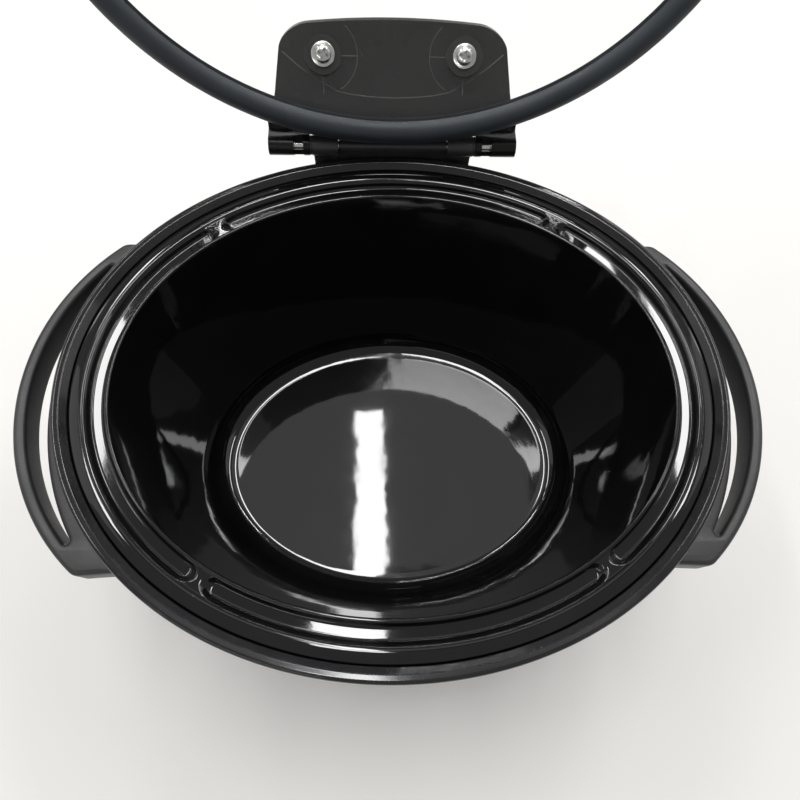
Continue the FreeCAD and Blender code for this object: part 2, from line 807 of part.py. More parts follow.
def make_lid_handle():
    """Arched handle on the flat top of the glass."""
    foot = lid_handle_gap
    back_face = -lid_handle_forward - lid_handle_depth / 2
    reach = lid_handle_post + 11
    gap = lid_handle_post - 10
    height = lid_handle_height
    side = outline(
        [
            (-reach, foot),
            (-reach, height, 14.0),
            (reach, height, 14.0),
            (reach, foot),
            (gap, foot),
            (gap, height - 11, 8.0),
            (-gap, height - 11, 8.0),
            (-gap, foot),
        ],
        lambda p, q: V(p, back_face, rim + dome_top + glass_thickness + q),
    )
    body = Part.Face(side).extrude(V(0, lid_handle_depth, 0))
    level = rim + dome_top + glass_thickness + height - 1
    rounded = [e for e in body.Edges if e.BoundBox.YLength < 1e-6 and e.BoundBox.ZMax > level]
    body = body.makeFillet(3.5, rounded)
    for point, direction in lid_screw_places()[2:]:
        body = body.cut(place_along(rod(2.02, 0, handle_screw_tip + 0.2), point, direction))
    return one(body)


def make_bush(point, direction, top, glass, cover):
    """Soft bush round a lid screw, on both faces of the glass and through its hole."""
    body = place_along(rod(bush_radius, -head_gap, top), point, direction)
    body = body.cut(glass).cut(cover)
    body = body.cut(place_along(rod(2.1, -5, 30), point, direction))
    keep = [s for s in body.Solids if s.distToShape(Part.Vertex(point + direction * -1.0))[0] < 4]
    return one(keep[0])


def save(name, shapes):
    """Write one node, as a single solid or as a group of separate solids."""
    shape = shapes[0] if len(shapes) == 1 else Part.makeCompound(shapes)
    shape.exportStep("parts/" + name + ".step")


def opened(shape):
    """A lid piece turned from its closed place to its open place about the hinge pin."""
    turned = shape.copy()
    turned.rotate(V(0, pin_y, pin_z), V(1, 0, 0), -open_angle)
    return turned


os.makedirs("parts", exist_ok=True)

# Crock
save("stoneware_crock", [make_crock()])

# Base
housing = make_housing()
band, clamp = make_band()
fuse, clip = make_fuse()
switch, nut, shaft, switch_face = make_switch()
knob, pointer = make_knob()
lens, lamp = make_lamp()
handle = make_handle()
save("rim_collar", [make_collar()])
save("outer_housing", [housing])
save("heating_well", [make_well()])
save("heating_band", [band])
save("band_clamp", [clamp])
save("thermal_fuse", [fuse])
save("fuse_clip", [clip])
save("base_plate", [make_base_plate()])
for name, (x, y) in foot_spots.items():
    save(name, [make_foot(x, y)])
save("foot_screws", [make_foot_screw(x, y) for x, y in foot_spots.values()])
save("tie_stud", [one(rod(2.5, foot_height - 5.2, rim - well_under))])
save("tie_washer", [one(rod(6.0, foot_height - 1.0, foot_height).cut(rod(2.7, 0, rim)))])
save("tie_nut", [one(hexagon(8.0, foot_height - 4.2, foot_height - 1.0).cut(rod(2.52, 0, rim)))])
save("control_panel", [make_panel()])
save("rotary_switch", [switch])
save("switch_nut", [nut])
save("indicator_lens", [lens])
save("indicator_lamp", [lamp])
save("cord_gland", [make_gland(housing)])
save("lead_wires", make_wires(switch_face))
save("handle_right", [handle])
save("handle_left", [mirrored(handle)])
screws = []
for angle, height in wall_screw_places():
    start = spot(angle, house_top_reach - house_sheet - 0.15, height)
    screws.append(place_along(wall_screw(house_sheet + 8.0), start, outward(angle)))
save("handle_screws", screws[:4])
save("knuckle_screws", screws[4:])
save("hinge_knuckle", [make_knuckle()])

# Knob
save("control_knob", [knob])
save("knob_pointer", [pointer])
save("switch_shaft", [shaft])

# Lid, made closed and then turned open
glass = make_glass()
hinge_plate = make_hinge_plate()
lid_handle = make_lid_handle()
places = lid_screw_places()
plate_bush_top = glass_thickness + plate_gap + 0.8
handle_bush_top = glass_thickness + lid_handle_gap
plate_bushes = [make_bush(p, d, plate_bush_top, glass, hinge_plate) for p, d in places[:2]]
handle_bushes = [make_bush(p, d, handle_bush_top, glass, lid_handle) for p, d in places[2:]]
plate_screw = lid_screw(head_gap + plate_screw_tip)
grip_screw = lid_screw(head_gap + handle_screw_tip)
plate_screws = [place_along(plate_screw, p - d * head_gap, d) for p, d in places[:2]]
grip_screws = [place_along(grip_screw, p - d * head_gap, d) for p, d in places[2:]]
pin = Part.makeCylinder(pin_radius, 2 * ear_outer - 2, V(-ear_outer + 1, pin_y, pin_z), V(1, 0, 0))
save("lid_glass", [opened(glass)])
save("lid_gasket", [opened(make_gasket())])
save("hinge_plate", [opened(hinge_plate)])
save("hinge_plate_screws", [opened(s) for s in plate_screws])
save("hinge_bushes", [opened(s) for s in plate_bushes])
save("hinge_pin", [opened(one(pin))])
save("lid_handle", [opened(lid_handle)])
save("lid_handle_screws", [opened(s) for s in grip_screws])
save("lid_handle_bushes", [opened(s) for s in handle_bushes])
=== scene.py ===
"""Oval slow cooker with a hinged glass lid: finished pieces, finishes, studio and camera."""
import logging
import math
from contextlib import contextmanager
from dataclasses import dataclass
from enum import Enum
from typing import Callable, Iterable, Iterator, Optional, Sequence

import bmesh
import bpy
from bmesh.types import BMesh
from bpy.types import Material, Mesh, Node, NodeOutputs, NodeSocket, NodeTree, Object
from mathutils import Matrix, Vector
from mathutils.bvhtree import BVHTree


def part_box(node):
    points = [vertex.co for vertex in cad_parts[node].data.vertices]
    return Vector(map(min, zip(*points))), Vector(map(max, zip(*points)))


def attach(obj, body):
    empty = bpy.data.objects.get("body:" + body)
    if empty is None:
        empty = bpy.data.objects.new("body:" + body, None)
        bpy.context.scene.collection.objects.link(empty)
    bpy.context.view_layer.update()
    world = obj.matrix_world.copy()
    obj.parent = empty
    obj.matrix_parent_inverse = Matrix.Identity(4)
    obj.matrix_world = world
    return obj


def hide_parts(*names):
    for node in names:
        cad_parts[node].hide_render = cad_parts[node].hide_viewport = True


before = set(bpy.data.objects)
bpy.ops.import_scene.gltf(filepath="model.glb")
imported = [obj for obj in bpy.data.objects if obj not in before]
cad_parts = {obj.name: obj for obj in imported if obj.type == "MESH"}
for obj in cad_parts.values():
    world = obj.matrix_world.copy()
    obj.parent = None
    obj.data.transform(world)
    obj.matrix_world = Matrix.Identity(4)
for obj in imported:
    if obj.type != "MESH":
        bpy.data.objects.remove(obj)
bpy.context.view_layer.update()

MM = 0.001
log = logging.getLogger("slow_cooker")

Colour = tuple[float, float, float]
Point2 = tuple[float, float]
Point3 = tuple[float, float, float]
Place = tuple[Vector, Vector]
Line = tuple[Sequence[Vector], bool]

UP = Vector((0.0, 0.0, 1.0))
RIGHT = Vector((1.0, 0.0, 0.0))
FRONT = Vector((0.0, -1.0, 0.0))
FULL_TURN = 2 * math.pi
CORNERS = ((-1, -1), (1, -1), (1, 1), (-1, 1))
DUST_COLOUR = (0.42, 0.41, 0.39, 1.0)


class Body(Enum):
    """The rigid bodies that pieces ride on."""

    BASE = "base"
    CROCK = "crock"
    KNOB = "knob"
    LID = "lid"


# Node trees


class Tree:
    """A short way to add and join nodes in a shader or geometry tree."""

    def __init__(self, tree: NodeTree) -> None:
        """Wrap a node tree."""
        self.tree = tree

    def add(self, kind: str, inputs: Optional[dict] = None, **settings: object) -> Node:
        """Add one node.

        Args:
            kind: The node's type name.
            inputs: Values or sockets for its inputs, by name or index.
            settings: Properties set on the node itself.

        Returns:
            The new node.
        """
        node = self.tree.nodes.new(kind)
        for key, value in settings.items():
            setattr(node, key, value)
        for key, value in (inputs or {}).items():
            self.put(node.inputs[key], value)
        return node

    def put(self, socket: NodeSocket, value: object) -> None:
        """Join a socket to an input, or set the input's value."""
        if isinstance(value, NodeSocket):
            self.tree.links.new(value, socket)
        else:
            socket.default_value = value

    def math(self, operation: str, *values: object) -> NodeSocket:
        """Add a Math node and return its output."""
        node = self.add("ShaderNodeMath", operation=operation)
        for i, value in enumerate(values):
            self.put(node.inputs[i], value)
        return node.outputs[0]

    def noise(self, vector: object, scale: object, detail: float = 2.0) -> NodeSocket:
        """Add a noise texture and return its value."""
        node = self.add("ShaderNodeTexNoise", {"Vector": vector, "Scale": scale, "Detail": detail})
        return node.outputs["Fac"]

    def spread(
        self,
        value: object,
        low: object,
        high: object,
        start: float = 0.3,
        end: float = 0.7,
    ) -> NodeSocket:
        """Map a value from one range to another, held at the ends, and return the result."""
        keys = {"Value": value, "From Min": start, "From Max": end, "To Min": low, "To Max": high}
        return self.add("ShaderNodeMapRange", keys).outputs["Result"]

    def blend(self, factor: object, first: object, second: object) -> NodeSocket:
        """Mix two colours and return the result."""
        node = self.add("ShaderNodeMix", data_type="RGBA")
        self.put(node.inputs["Factor"], factor)
        self.put(node.inputs[6], first)
        self.put(node.inputs[7], second)
        return node.outputs[2]


def rgba(colour: Colour) -> tuple[float, float, float, float]:
    """A colour with full opacity."""
    return (colour[0], colour[1], colour[2], 1.0)


class Effects:
    """Shader groups that several finishes share, each built once."""

    made: dict[str, NodeTree] = {}

    @classmethod
    def group(cls, name: str, inputs: dict[str, float], outputs: Sequence[str], fill: Callable) -> NodeTree:
        """Build a group the first time it is asked for.

        Args:
            name: The group's name.
            inputs: Names of its value inputs with their defaults.
            outputs: Names of its value outputs.
            fill: Adds the nodes, given the tree and the group's input sockets, and returns output sockets.

        Returns:
            The node group.
        """
        if name not in cls.made:
            tree = bpy.data.node_groups.new(name, "ShaderNodeTree")
            for key, value in inputs.items():
                socket = tree.interface.new_socket(key, in_out="INPUT", socket_type="NodeSocketFloat")
                socket.default_value = value
            for key in outputs:
                tree.interface.new_socket(key, in_out="OUTPUT", socket_type="NodeSocketFloat")
            kit = Tree(tree)
            start = kit.add("NodeGroupInput")
            end = kit.add("NodeGroupOutput")
            for key, socket in zip(outputs, fill(kit, start.outputs)):
                kit.put(end.inputs[key], socket)
            cls.made[name] = tree
        return cls.made[name]

    @classmethod
    def grain(cls) -> NodeTree:
        """Fine surface relief with slow unevenness."""

        def fill(kit: Tree, given: NodeOutputs) -> list[NodeSocket]:
            """Add the group's nodes."""
            place = kit.add("ShaderNodeTexCoord").outputs["Object"]
            fine = kit.noise(place, given["Fine"], 3.0)
            slow = kit.noise(place, given["Slow"], 2.0)
            height = kit.math("ADD", kit.math("MULTIPLY", fine, given["Fine share"]), slow)
            return [height, slow]

        inputs = {"Fine": 2500.0, "Slow": 60.0, "Fine share": 0.5}
        return cls.group("Surface grain", inputs, ("Height", "Tone"), fill)

    @classmethod
    def smudge(cls) -> NodeTree:
        """Patchy gloss from handling, as a roughness."""

        def fill(kit: Tree, given: NodeOutputs) -> list[NodeSocket]:
            """Add the group's nodes."""
            place = kit.add("ShaderNodeTexCoord").outputs["Object"]
            wide = kit.noise(place, given["Scale"], 4.0)
            small = kit.noise(place, kit.math("MULTIPLY", given["Scale"], 9.0), 3.0)
            patch = kit.math("ADD", kit.math("MULTIPLY", wide, 0.75), kit.math("MULTIPLY", small, 0.25))
            return [kit.spread(patch, given["Low"], given["High"], 0.35, 0.65)]

        return cls.group("Handling smudge", {"Scale": 30.0, "Low": 0.3, "High": 0.4}, ("Roughness",), fill)

    @classmethod
    def wear(cls) -> NodeTree:
        """Rubbed edges, as a mask."""

        def fill(kit: Tree, given: NodeOutputs) -> list[NodeSocket]:
            """Add the group's nodes."""
            place = kit.add("ShaderNodeTexCoord").outputs["Object"]
            sharp = kit.add("ShaderNodeNewGeometry").outputs["Pointiness"]
            edge = kit.spread(sharp, 0.0, 1.0, 0.53, 0.62)
            broken = kit.spread(kit.noise(place, 220.0, 4.0), 0.0, 1.0, 0.42, 0.68)
            return [kit.math("MULTIPLY", kit.math("MULTIPLY", edge, broken), given["Amount"])]

        return cls.group("Edge wear", {"Amount": 0.3}, ("Mask",), fill)

    @classmethod
    def dust(cls) -> NodeTree:
        """Thin dust on faces that look up, as a mask."""

        def fill(kit: Tree, given: NodeOutputs) -> list[NodeSocket]:
            """Add the group's nodes."""
            coords = kit.add("ShaderNodeTexCoord")
            up = kit.add("ShaderNodeSeparateXYZ", {0: coords.outputs["Normal"]}).outputs["Z"]
            level = kit.spread(up, 0.0, 1.0, 0.55, 0.98)
            specks = kit.spread(kit.noise(coords.outputs["Object"], 900.0, 2.0), 0.0, 1.0, 0.62, 0.74)
            film = kit.spread(kit.noise(coords.outputs["Object"], 22.0, 3.0), 0.0, 0.5, 0.4, 0.7)
            loose = kit.math("MULTIPLY", level, kit.math("ADD", specks, film))
            return [kit.math("MULTIPLY", loose, given["Amount"])]

        return cls.group("Settled dust", {"Amount": 0.1}, ("Mask",), fill)


@dataclass(frozen=True)
class Finish:
    """A surface finish: colour, gloss, relief, wear and dust.

    Relief distance is in metres, and grain scales are in cells per metre.
    """

    name: str
    colour: Colour
    tone: Colour
    rough: tuple[float, float] = (0.3, 0.4)
    metallic: float = 0.0
    ior: float = 1.5
    coat: float = 0.0
    fine: float = 2500.0
    slow: float = 60.0
    fine_share: float = 0.5
    relief: float = 0.00002
    relief_strength: float = 0.5
    smudge_scale: float = 30.0
    worn: float = 0.0
    worn_colour: Colour = (0.12, 0.12, 0.12)
    dusty: float = 0.0

    def material(self) -> Material:
        """The finish's material, made the first time it is used."""
        found = bpy.data.materials.get(self.name)
        if found:
            return found
        material = bpy.data.materials.new(self.name)
        material.use_nodes = True
        kit = Tree(material.node_tree)
        shader = material.node_tree.nodes["Principled BSDF"]
        shader.inputs["Metallic"].default_value = self.metallic
        shader.inputs["IOR"].default_value = self.ior
        shader.inputs["Coat Weight"].default_value = self.coat
        shader.inputs["Coat Roughness"].default_value = 0.05
        self.shade(kit, shader)
        return material

    def grain_nodes(self, kit: Tree) -> Node:
        """Place the shared grain group with this finish's values."""
        node = kit.add("ShaderNodeGroup", node_tree=Effects.grain())
        node.inputs["Fine"].default_value = self.fine
        node.inputs["Slow"].default_value = self.slow
        node.inputs["Fine share"].default_value = self.fine_share
        return node

    def shade(self, kit: Tree, shader: Node) -> None:
        """Join colour, roughness and relief to the shader.

        Args:
            kit: The material's tree.
            shader: Its Principled shader.
        """
        grain = self.grain_nodes(kit)
        colour = kit.blend(kit.spread(grain.outputs["Tone"], 0.0, 1.0), rgba(self.colour), rgba(self.tone))
        if self.worn:
            wear = kit.add("ShaderNodeGroup", {"Amount": self.worn}, node_tree=Effects.wear())
            colour = kit.blend(wear.outputs["Mask"], colour, rgba(self.worn_colour))
        if self.dusty:
            dust = kit.add("ShaderNodeGroup", {"Amount": self.dusty}, node_tree=Effects.dust())
            colour = kit.blend(dust.outputs["Mask"], colour, DUST_COLOUR)
        kit.put(shader.inputs["Base Color"], self.tint(kit, colour))
        keys = {"Scale": self.smudge_scale, "Low": self.rough[0], "High": self.rough[1]}
        smudge = kit.add("ShaderNodeGroup", keys, node_tree=Effects.smudge())
        kit.put(shader.inputs["Roughness"], self.gloss(kit, smudge.outputs["Roughness"]))
        height = self.height(kit, grain.outputs["Height"])
        keys = {"Strength": self.relief_strength, "Distance": self.relief, "Height": height}
        kit.put(shader.inputs["Normal"], kit.add("ShaderNodeBump", keys).outputs["Normal"])

    def tint(self, kit: Tree, colour: NodeSocket) -> NodeSocket:
        """The colour after the finish's own marks."""
        return colour

    def gloss(self, kit: Tree, rough: NodeSocket) -> NodeSocket:
        """The roughness after the finish's own marks."""
        return rough

    def height(self, kit: Tree, relief: NodeSocket) -> NodeSocket:
        """The relief after the finish's own marks."""
        return relief


@dataclass(frozen=True)
class Glaze(Finish):
    """Fired black glaze that stops short of the bare foot of the crock."""

    bare_level: float = 0.0
    bare_colour: Colour = (0.30, 0.26, 0.21)

    def bare(self, kit: Tree) -> NodeSocket:
        """Mask of the unglazed foot, with an uneven edge."""
        place = kit.add("ShaderNodeTexCoord").outputs["Object"]
        level = kit.add("ShaderNodeSeparateXYZ", {0: place}).outputs["Z"]
        wavy = kit.math("MULTIPLY_ADD", kit.noise(place, 45.0, 3.0), 0.0016, self.bare_level - 0.0008)
        return kit.math("LESS_THAN", level, wavy)

    def tint(self, kit: Tree, colour: NodeSocket) -> NodeSocket:
        """Bare clay below the glaze line."""
        return kit.blend(self.bare(kit), colour, rgba(self.bare_colour))

    def gloss(self, kit: Tree, rough: NodeSocket) -> NodeSocket:
        """Dry clay below the glaze line."""
        return kit.math("MAXIMUM", rough, kit.math("MULTIPLY", self.bare(kit), 0.8))

    def height(self, kit: Tree, relief: NodeSocket) -> NodeSocket:
        """Glaze relief with a few small pits."""
        place = kit.add("ShaderNodeTexCoord").outputs["Object"]
        cells = kit.add("ShaderNodeTexVoronoi", {"Vector": place, "Scale": 120.0})
        pit = kit.spread(cells.outputs["Distance"], -0.6, 0.0, 0.02, 0.06)
        rare = kit.math("GREATER_THAN", kit.noise(place, 60.0, 1.0), 0.66)
        return kit.math("MULTIPLY_ADD", pit, rare, relief)


@dataclass(frozen=True)
class Sheet(Finish):
    """Rolled sheet metal with lines along one direction."""

    lines: Point3 = (40.0, 40.0, 3000.0)

    def height(self, kit: Tree, relief: NodeSocket) -> NodeSocket:
        """Rolling lines added to the relief."""
        place = kit.add("ShaderNodeTexCoord").outputs["Object"]
        drawn = kit.add("ShaderNodeMapping", {"Vector": place, "Scale": self.lines}).outputs["Vector"]
        return kit.math("MULTIPLY_ADD", kit.noise(drawn, 1.0, 3.0), 0.8, relief)


@dataclass(frozen=True)
class ClearGlass(Finish):
    """Clear lid glass."""

    def shade(self, kit: Tree, shader: Node) -> None:
        """Clear body; shadow rays pass, so that the glass doesn't darken what stands behind it.

        Args:
            kit: The material's tree.
            shader: Its Principled shader.
        """
        shader.inputs["Transmission Weight"].default_value = 1.0
        grain = self.grain_nodes(kit)
        colour = kit.blend(kit.spread(grain.outputs["Tone"], 0.0, 1.0), rgba(self.colour), rgba(self.tone))
        kit.put(shader.inputs["Base Color"], colour)
        shader.inputs["Roughness"].default_value = self.rough[0]
        path = kit.add("ShaderNodeLightPath").outputs["Is Shadow Ray"]
        clear = kit.add("ShaderNodeBsdfTransparent", {"Color": (0.93, 0.95, 0.94, 1.0)})
        mixed = kit.add("ShaderNodeMixShader", {0: path, 1: shader.outputs[0], 2: clear.outputs[0]})
        kit.put(kit.tree.nodes["Material Output"].inputs["Surface"], mixed.outputs[0])


class Finishes:
    """Every finish on the cooker."""

    glaze = Glaze(
        "black glaze", (0.003, 0.0029, 0.003), (0.005, 0.0048, 0.005),
        rough=(0.03, 0.055), ior=1.53, fine=700.0, slow=38.0, fine_share=0.02,
        relief=0.0004, relief_strength=0.30, smudge_scale=14.0, bare_level=0.0356,
    )
    gloss_black = Finish(
        "gloss black plastic", (0.0075, 0.0075, 0.0088), (0.011, 0.011, 0.0125),
        rough=(0.07, 0.12), fine=3000.0, slow=90.0, relief=0.000015, relief_strength=0.35,
        smudge_scale=26.0, worn=0.25, worn_colour=(0.05, 0.05, 0.05), dusty=0.03,
    )
    satin_black = Finish(
        "satin black plastic", (0.014, 0.014, 0.0155), (0.020, 0.020, 0.0215),
        rough=(0.34, 0.46), fine=2200.0, slow=70.0, relief=0.00004, relief_strength=0.45,
        smudge_scale=34.0, worn=0.4, worn_colour=(0.07, 0.07, 0.07), dusty=0.06,
    )
    plate_plastic = Finish(
        "smoky plate plastic", (0.0066, 0.0063, 0.006), (0.0078, 0.0075, 0.0072),
        rough=(0.18, 0.25), ior=1.33, fine=420.0, slow=50.0, fine_share=0.1,
        relief=0.00001, relief_strength=0.1, worn=0.2, worn_colour=(0.05, 0.05, 0.05),
    )
    # Lighter than the plate's own dark plastic: this colour is a painted highlight for the light that the
    # ribs' rounded tops catch.
    rib_painted_highlight = Finish(
        "rib painted highlight", (0.034, 0.033, 0.031), (0.046, 0.044, 0.042), rough=(0.3, 0.4), fine=700.0,
    )
    housing_paint = Finish(
        "housing paint", (0.010, 0.010, 0.0115), (0.0145, 0.0145, 0.016),
        rough=(0.20, 0.30), coat=0.3, fine=520.0, slow=45.0, fine_share=0.6,
        relief=0.00005, relief_strength=0.28, smudge_scale=18.0,
        worn=0.5, worn_colour=(0.14, 0.14, 0.14), dusty=0.04,
    )
    base_paint = Finish(
        "base paint", (0.020, 0.020, 0.021), (0.030, 0.030, 0.031),
        rough=(0.48, 0.62), fine=900.0, slow=60.0, relief=0.00006, relief_strength=0.4,
        worn=0.6, worn_colour=(0.20, 0.20, 0.20),
    )
    soft_rubber = Finish(
        "gasket rubber", (0.011, 0.0145, 0.020), (0.017, 0.022, 0.029),
        rough=(0.46, 0.62), ior=1.48, fine=1500.0, slow=32.0, relief=0.00006, relief_strength=0.4,
        smudge_scale=22.0, worn=0.35, worn_colour=(0.075, 0.085, 0.10), dusty=0.10,
    )
    bush_rubber = Finish(
        "bush rubber", (0.013, 0.0125, 0.012), (0.020, 0.019, 0.018),
        rough=(0.4, 0.55), ior=1.48, fine=1500.0, slow=80.0, relief=0.00005, relief_strength=0.4, dusty=0.05,
    )
    foot_rubber = Finish(
        "foot rubber", (0.016, 0.016, 0.016), (0.026, 0.026, 0.026),
        rough=(0.6, 0.8), ior=1.48, fine=1300.0, slow=90.0, relief=0.00008, relief_strength=0.5,
        worn=0.5, dusty=0.05,
    )
    bright_steel = Finish(
        "bright steel", (0.62, 0.62, 0.60), (0.72, 0.72, 0.70),
        rough=(0.14, 0.28), metallic=1.0, fine=2600.0, slow=240.0, relief=0.00002, relief_strength=0.35,
        smudge_scale=160.0, worn=0.5, worn_colour=(0.85, 0.85, 0.84),
    )
    bare_sheet = Sheet(
        "bare sheet metal", (0.50, 0.50, 0.505), (0.60, 0.60, 0.605),
        rough=(0.28, 0.44), metallic=1.0, fine=420.0, slow=70.0, relief=0.00002, relief_strength=0.35,
        smudge_scale=16.0,
    )
    heater_sheet = Sheet(
        "heater sheet", (0.34, 0.31, 0.27), (0.44, 0.42, 0.38),
        rough=(0.34, 0.5), metallic=1.0, fine=600.0, slow=55.0, relief=0.00002, relief_strength=0.4,
    )
    clear_glass = ClearGlass(
        "lid glass", (0.965, 0.985, 0.978), (0.985, 0.995, 0.99),
        rough=(0.022, 0.022), ior=1.43, fine=600.0, slow=20.0,
    )
    lamp_red = Finish(
        "lamp red", (0.42, 0.022, 0.010), (0.55, 0.045, 0.018),
        rough=(0.08, 0.16), ior=1.49, coat=0.4, fine=900.0, slow=300.0, relief=0.00001, relief_strength=0.3,
    )
    mark_white = Finish(
        "mark white", (0.62, 0.62, 0.60), (0.72, 0.72, 0.70),
        rough=(0.38, 0.5), fine=2400.0, slow=200.0, relief=0.00002, relief_strength=0.4,
        worn=0.2, worn_colour=(0.4, 0.4, 0.39),
    )
    switch_plastic = Finish(
        "switch plastic", (0.20, 0.17, 0.13), (0.27, 0.24, 0.19), rough=(0.4, 0.55), fine=1900.0, slow=120.0,
    )
    wire_cover = Finish(
        "wire cover", (0.50, 0.48, 0.42), (0.60, 0.58, 0.52), rough=(0.42, 0.58), fine=1500.0, slow=90.0,
    )


# Mesh making


def gap_between(turn: float, other: float) -> float:
    """The smaller angle between two directions, in radians."""
    return abs((turn - other + math.pi) % FULL_TURN - math.pi)


@dataclass(frozen=True)
class Oval:
    """The mouth oval that the swept pieces follow, in millimetres, with its close steps in radians."""

    half_long: float = 143.0
    half_wide: float = 114.0
    rim: float = 191.5
    close_span: float = 0.09
    close_step: float = 0.005

    def outward(self, turn: float) -> Vector:
        """The direction square to the oval at an angle of its formula, in radians."""
        return Vector((math.cos(turn) / self.half_long, math.sin(turn) / self.half_wide, 0.0)).normalized()

    def spot(self, turn: float, reach: float, height: float) -> Vector:
        """A point at a reach from the oval and a height from the rim, in metres."""
        edge = Vector((self.half_long * math.cos(turn), self.half_wide * math.sin(turn), self.rim + height))
        return (edge + self.outward(turn) * reach) * MM

    def turns(self, count: int, near: Sequence[float] = ()) -> list[float]:
        """Angles round the oval, closer together near some of them.

        Args:
            count: How many even steps there are.
            near: Angles that need close steps, in radians.

        Returns:
            Sorted angles.
        """
        even = [FULL_TURN * i / count for i in range(count)]
        close: list[float] = []
        for middle in near:
            even = [t for t in even if gap_between(t, middle) > self.close_span]
            steps = int(self.close_span / self.close_step)
            close += [(middle + k * self.close_step) % FULL_TURN for k in range(-steps, steps + 1)]
        return sorted(even + close)


OVAL = Oval()
TIGHT = OVAL.half_wide ** 2 / OVAL.half_long
PIN = Vector((0.0, 141.1, 202.0)) * MM
OPENED = Matrix.Translation(PIN) @ Matrix.Rotation(math.radians(-110.0), 4, "X") @ Matrix.Translation(-PIN)

# Reach at which a closed floor starts, well inside the walls
FLOOR_START = -48.0
# Bends that stay crisp, in degrees: on most pieces, flat plates, sections along lines and swept pieces
CRISP = 40.0
CRISP_PLATE = 35.0
CRISP_CARRIED = 50.0
CRISP_SWEPT = 60.0
# Edges of a CAD copy that bend more than this are softened, in degrees
SOFTENED = 32.0


def spun(x: float, y: float, angle: float) -> Vector:
    """A flat point turned about the origin by an angle in radians."""
    return Vector((x * math.cos(angle) - y * math.sin(angle), x * math.sin(angle) + y * math.cos(angle)))


def rounded(corners: Sequence[tuple], closed: bool = True, steps: int = 7) -> list[Point2]:
    """Points along an outline whose corners may be rounded.

    Args:
        corners: Corners (p, q) or (p, q, radius).
        closed: Whether the last corner joins the first.
        steps: How many parts each round has.

    Returns:
        The points, with a support point beside each round.
    """
    points: list[Point2] = []
    count = len(corners)
    for i, corner in enumerate(corners):
        here = Vector(corner[:2])
        if len(corner) < 3 or (not closed and i in (0, count - 1)):
            points.append((here.x, here.y))
            continue
        before = Vector(corners[i - 1][:2]) - here
        after = Vector(corners[(i + 1) % count][:2]) - here
        half = before.angle(after) / 2
        reach = min(corner[2] / math.tan(half), 0.49 * before.length, 0.49 * after.length)
        radius = reach * math.tan(half)
        before.normalize()
        after.normalize()
        centre = here + (before + after).normalized() * (radius / math.sin(half))
        first = here + before * reach - centre
        bend = math.pi - 2 * half
        way = 1.0 if first.y * before.x - first.x * before.y > 0 else -1.0
        support = min(0.06 * radius + 0.05, 0.3 * reach)
        lead = here + before * (reach + support)
        points.append((lead.x, lead.y))
        for k in range(steps + 1):
            x, y = spun(first.x, first.y, way * bend * k / steps)
            points.append((centre.x + x, centre.y + y))
        trail = here + after * (reach + support)
        points.append((trail.x, trail.y))
    return points


def arc(centre: Point2, radius: float, start: float, end: float, steps: int) -> list[Point2]:
    """Points along an arc, with its angles in degrees."""
    angles = [math.radians(start + (end - start) * k / steps) for k in range(steps + 1)]
    return [(centre[0] + radius * math.cos(a), centre[1] + radius * math.sin(a)) for a in angles]


def divided(start: Point2, end: Point2, count: int) -> list[Point2]:
    """Even steps from one point towards another, without the last."""
    x, y = start
    wide, tall = end[0] - x, end[1] - y
    return [(x + wide * k / count, y + tall * k / count) for k in range(count)]


def eased(share: float) -> float:
    """A share held between 0 and 1 and eased at both ends."""
    share = min(max(share, 0.0), 1.0)
    return share * share * (3.0 - 2.0 * share)


def oblong(half_x: float, half_y: float, radius: float, steps: int = 7) -> list[Point2]:
    """An oblong about the origin with rounded corners, in millimetres."""
    return rounded([(x * half_x, y * half_y, radius) for x, y in CORNERS], steps=steps)


@contextmanager
def edited(mesh: Mesh) -> Iterator[BMesh]:
    """Open a mesh for editing and write it back afterwards."""
    shape = bmesh.new()
    shape.from_mesh(mesh)
    yield shape
    shape.to_mesh(mesh)
    shape.free()


def face_outwards(shape: BMesh) -> None:
    """Turn every face of a closed shape outwards."""
    bmesh.ops.recalc_face_normals(shape, faces=shape.faces)


def linked(name: str, data: bpy.types.ID) -> Object:
    """A new object in the scene, at the origin."""
    holder = bpy.data.objects.new(name, data)
    bpy.context.scene.collection.objects.link(holder)
    return holder


def plain_mesh(holder: Object) -> Mesh:
    """An object's shape with its curve or modifiers worked out."""
    bpy.context.view_layer.update()
    return bpy.data.meshes.new_from_object(holder.evaluated_get(bpy.context.evaluated_depsgraph_get()))


def crisp(mesh: Mesh, angle: float) -> None:
    """Shade a mesh smooth except where it bends more than an angle in degrees."""
    mesh.shade_smooth()
    mesh.set_sharp_from_angle(angle=math.radians(angle))


def mesh_object(
    name: str,
    points: Sequence[Vector],
    faces: Sequence[Sequence[int]],
    sharp: float = CRISP,
) -> Object:
    """An object from points and faces, with its faces turned outwards.

    Args:
        name: The object's name.
        points: Points in metres.
        faces: Corner numbers of each face.
        sharp: Edges that bend more than this, in degrees, stay crisp.

    Returns:
        The new object, in the scene.
    """
    mesh = bpy.data.meshes.new(name)
    mesh.from_pydata([tuple(p) for p in points], [], [list(f) for f in faces])
    with edited(mesh) as shape:
        bmesh.ops.remove_doubles(shape, verts=shape.verts, dist=1e-6)
        face_outwards(shape)
    return placed(name, mesh, sharp)


def placed(name: str, mesh: Mesh, sharp: float = CRISP) -> Object:
    """Link a mesh to the scene as an object at the origin, shaded smooth up to a sharp angle."""
    crisp(mesh, sharp)
    return linked(name, mesh)


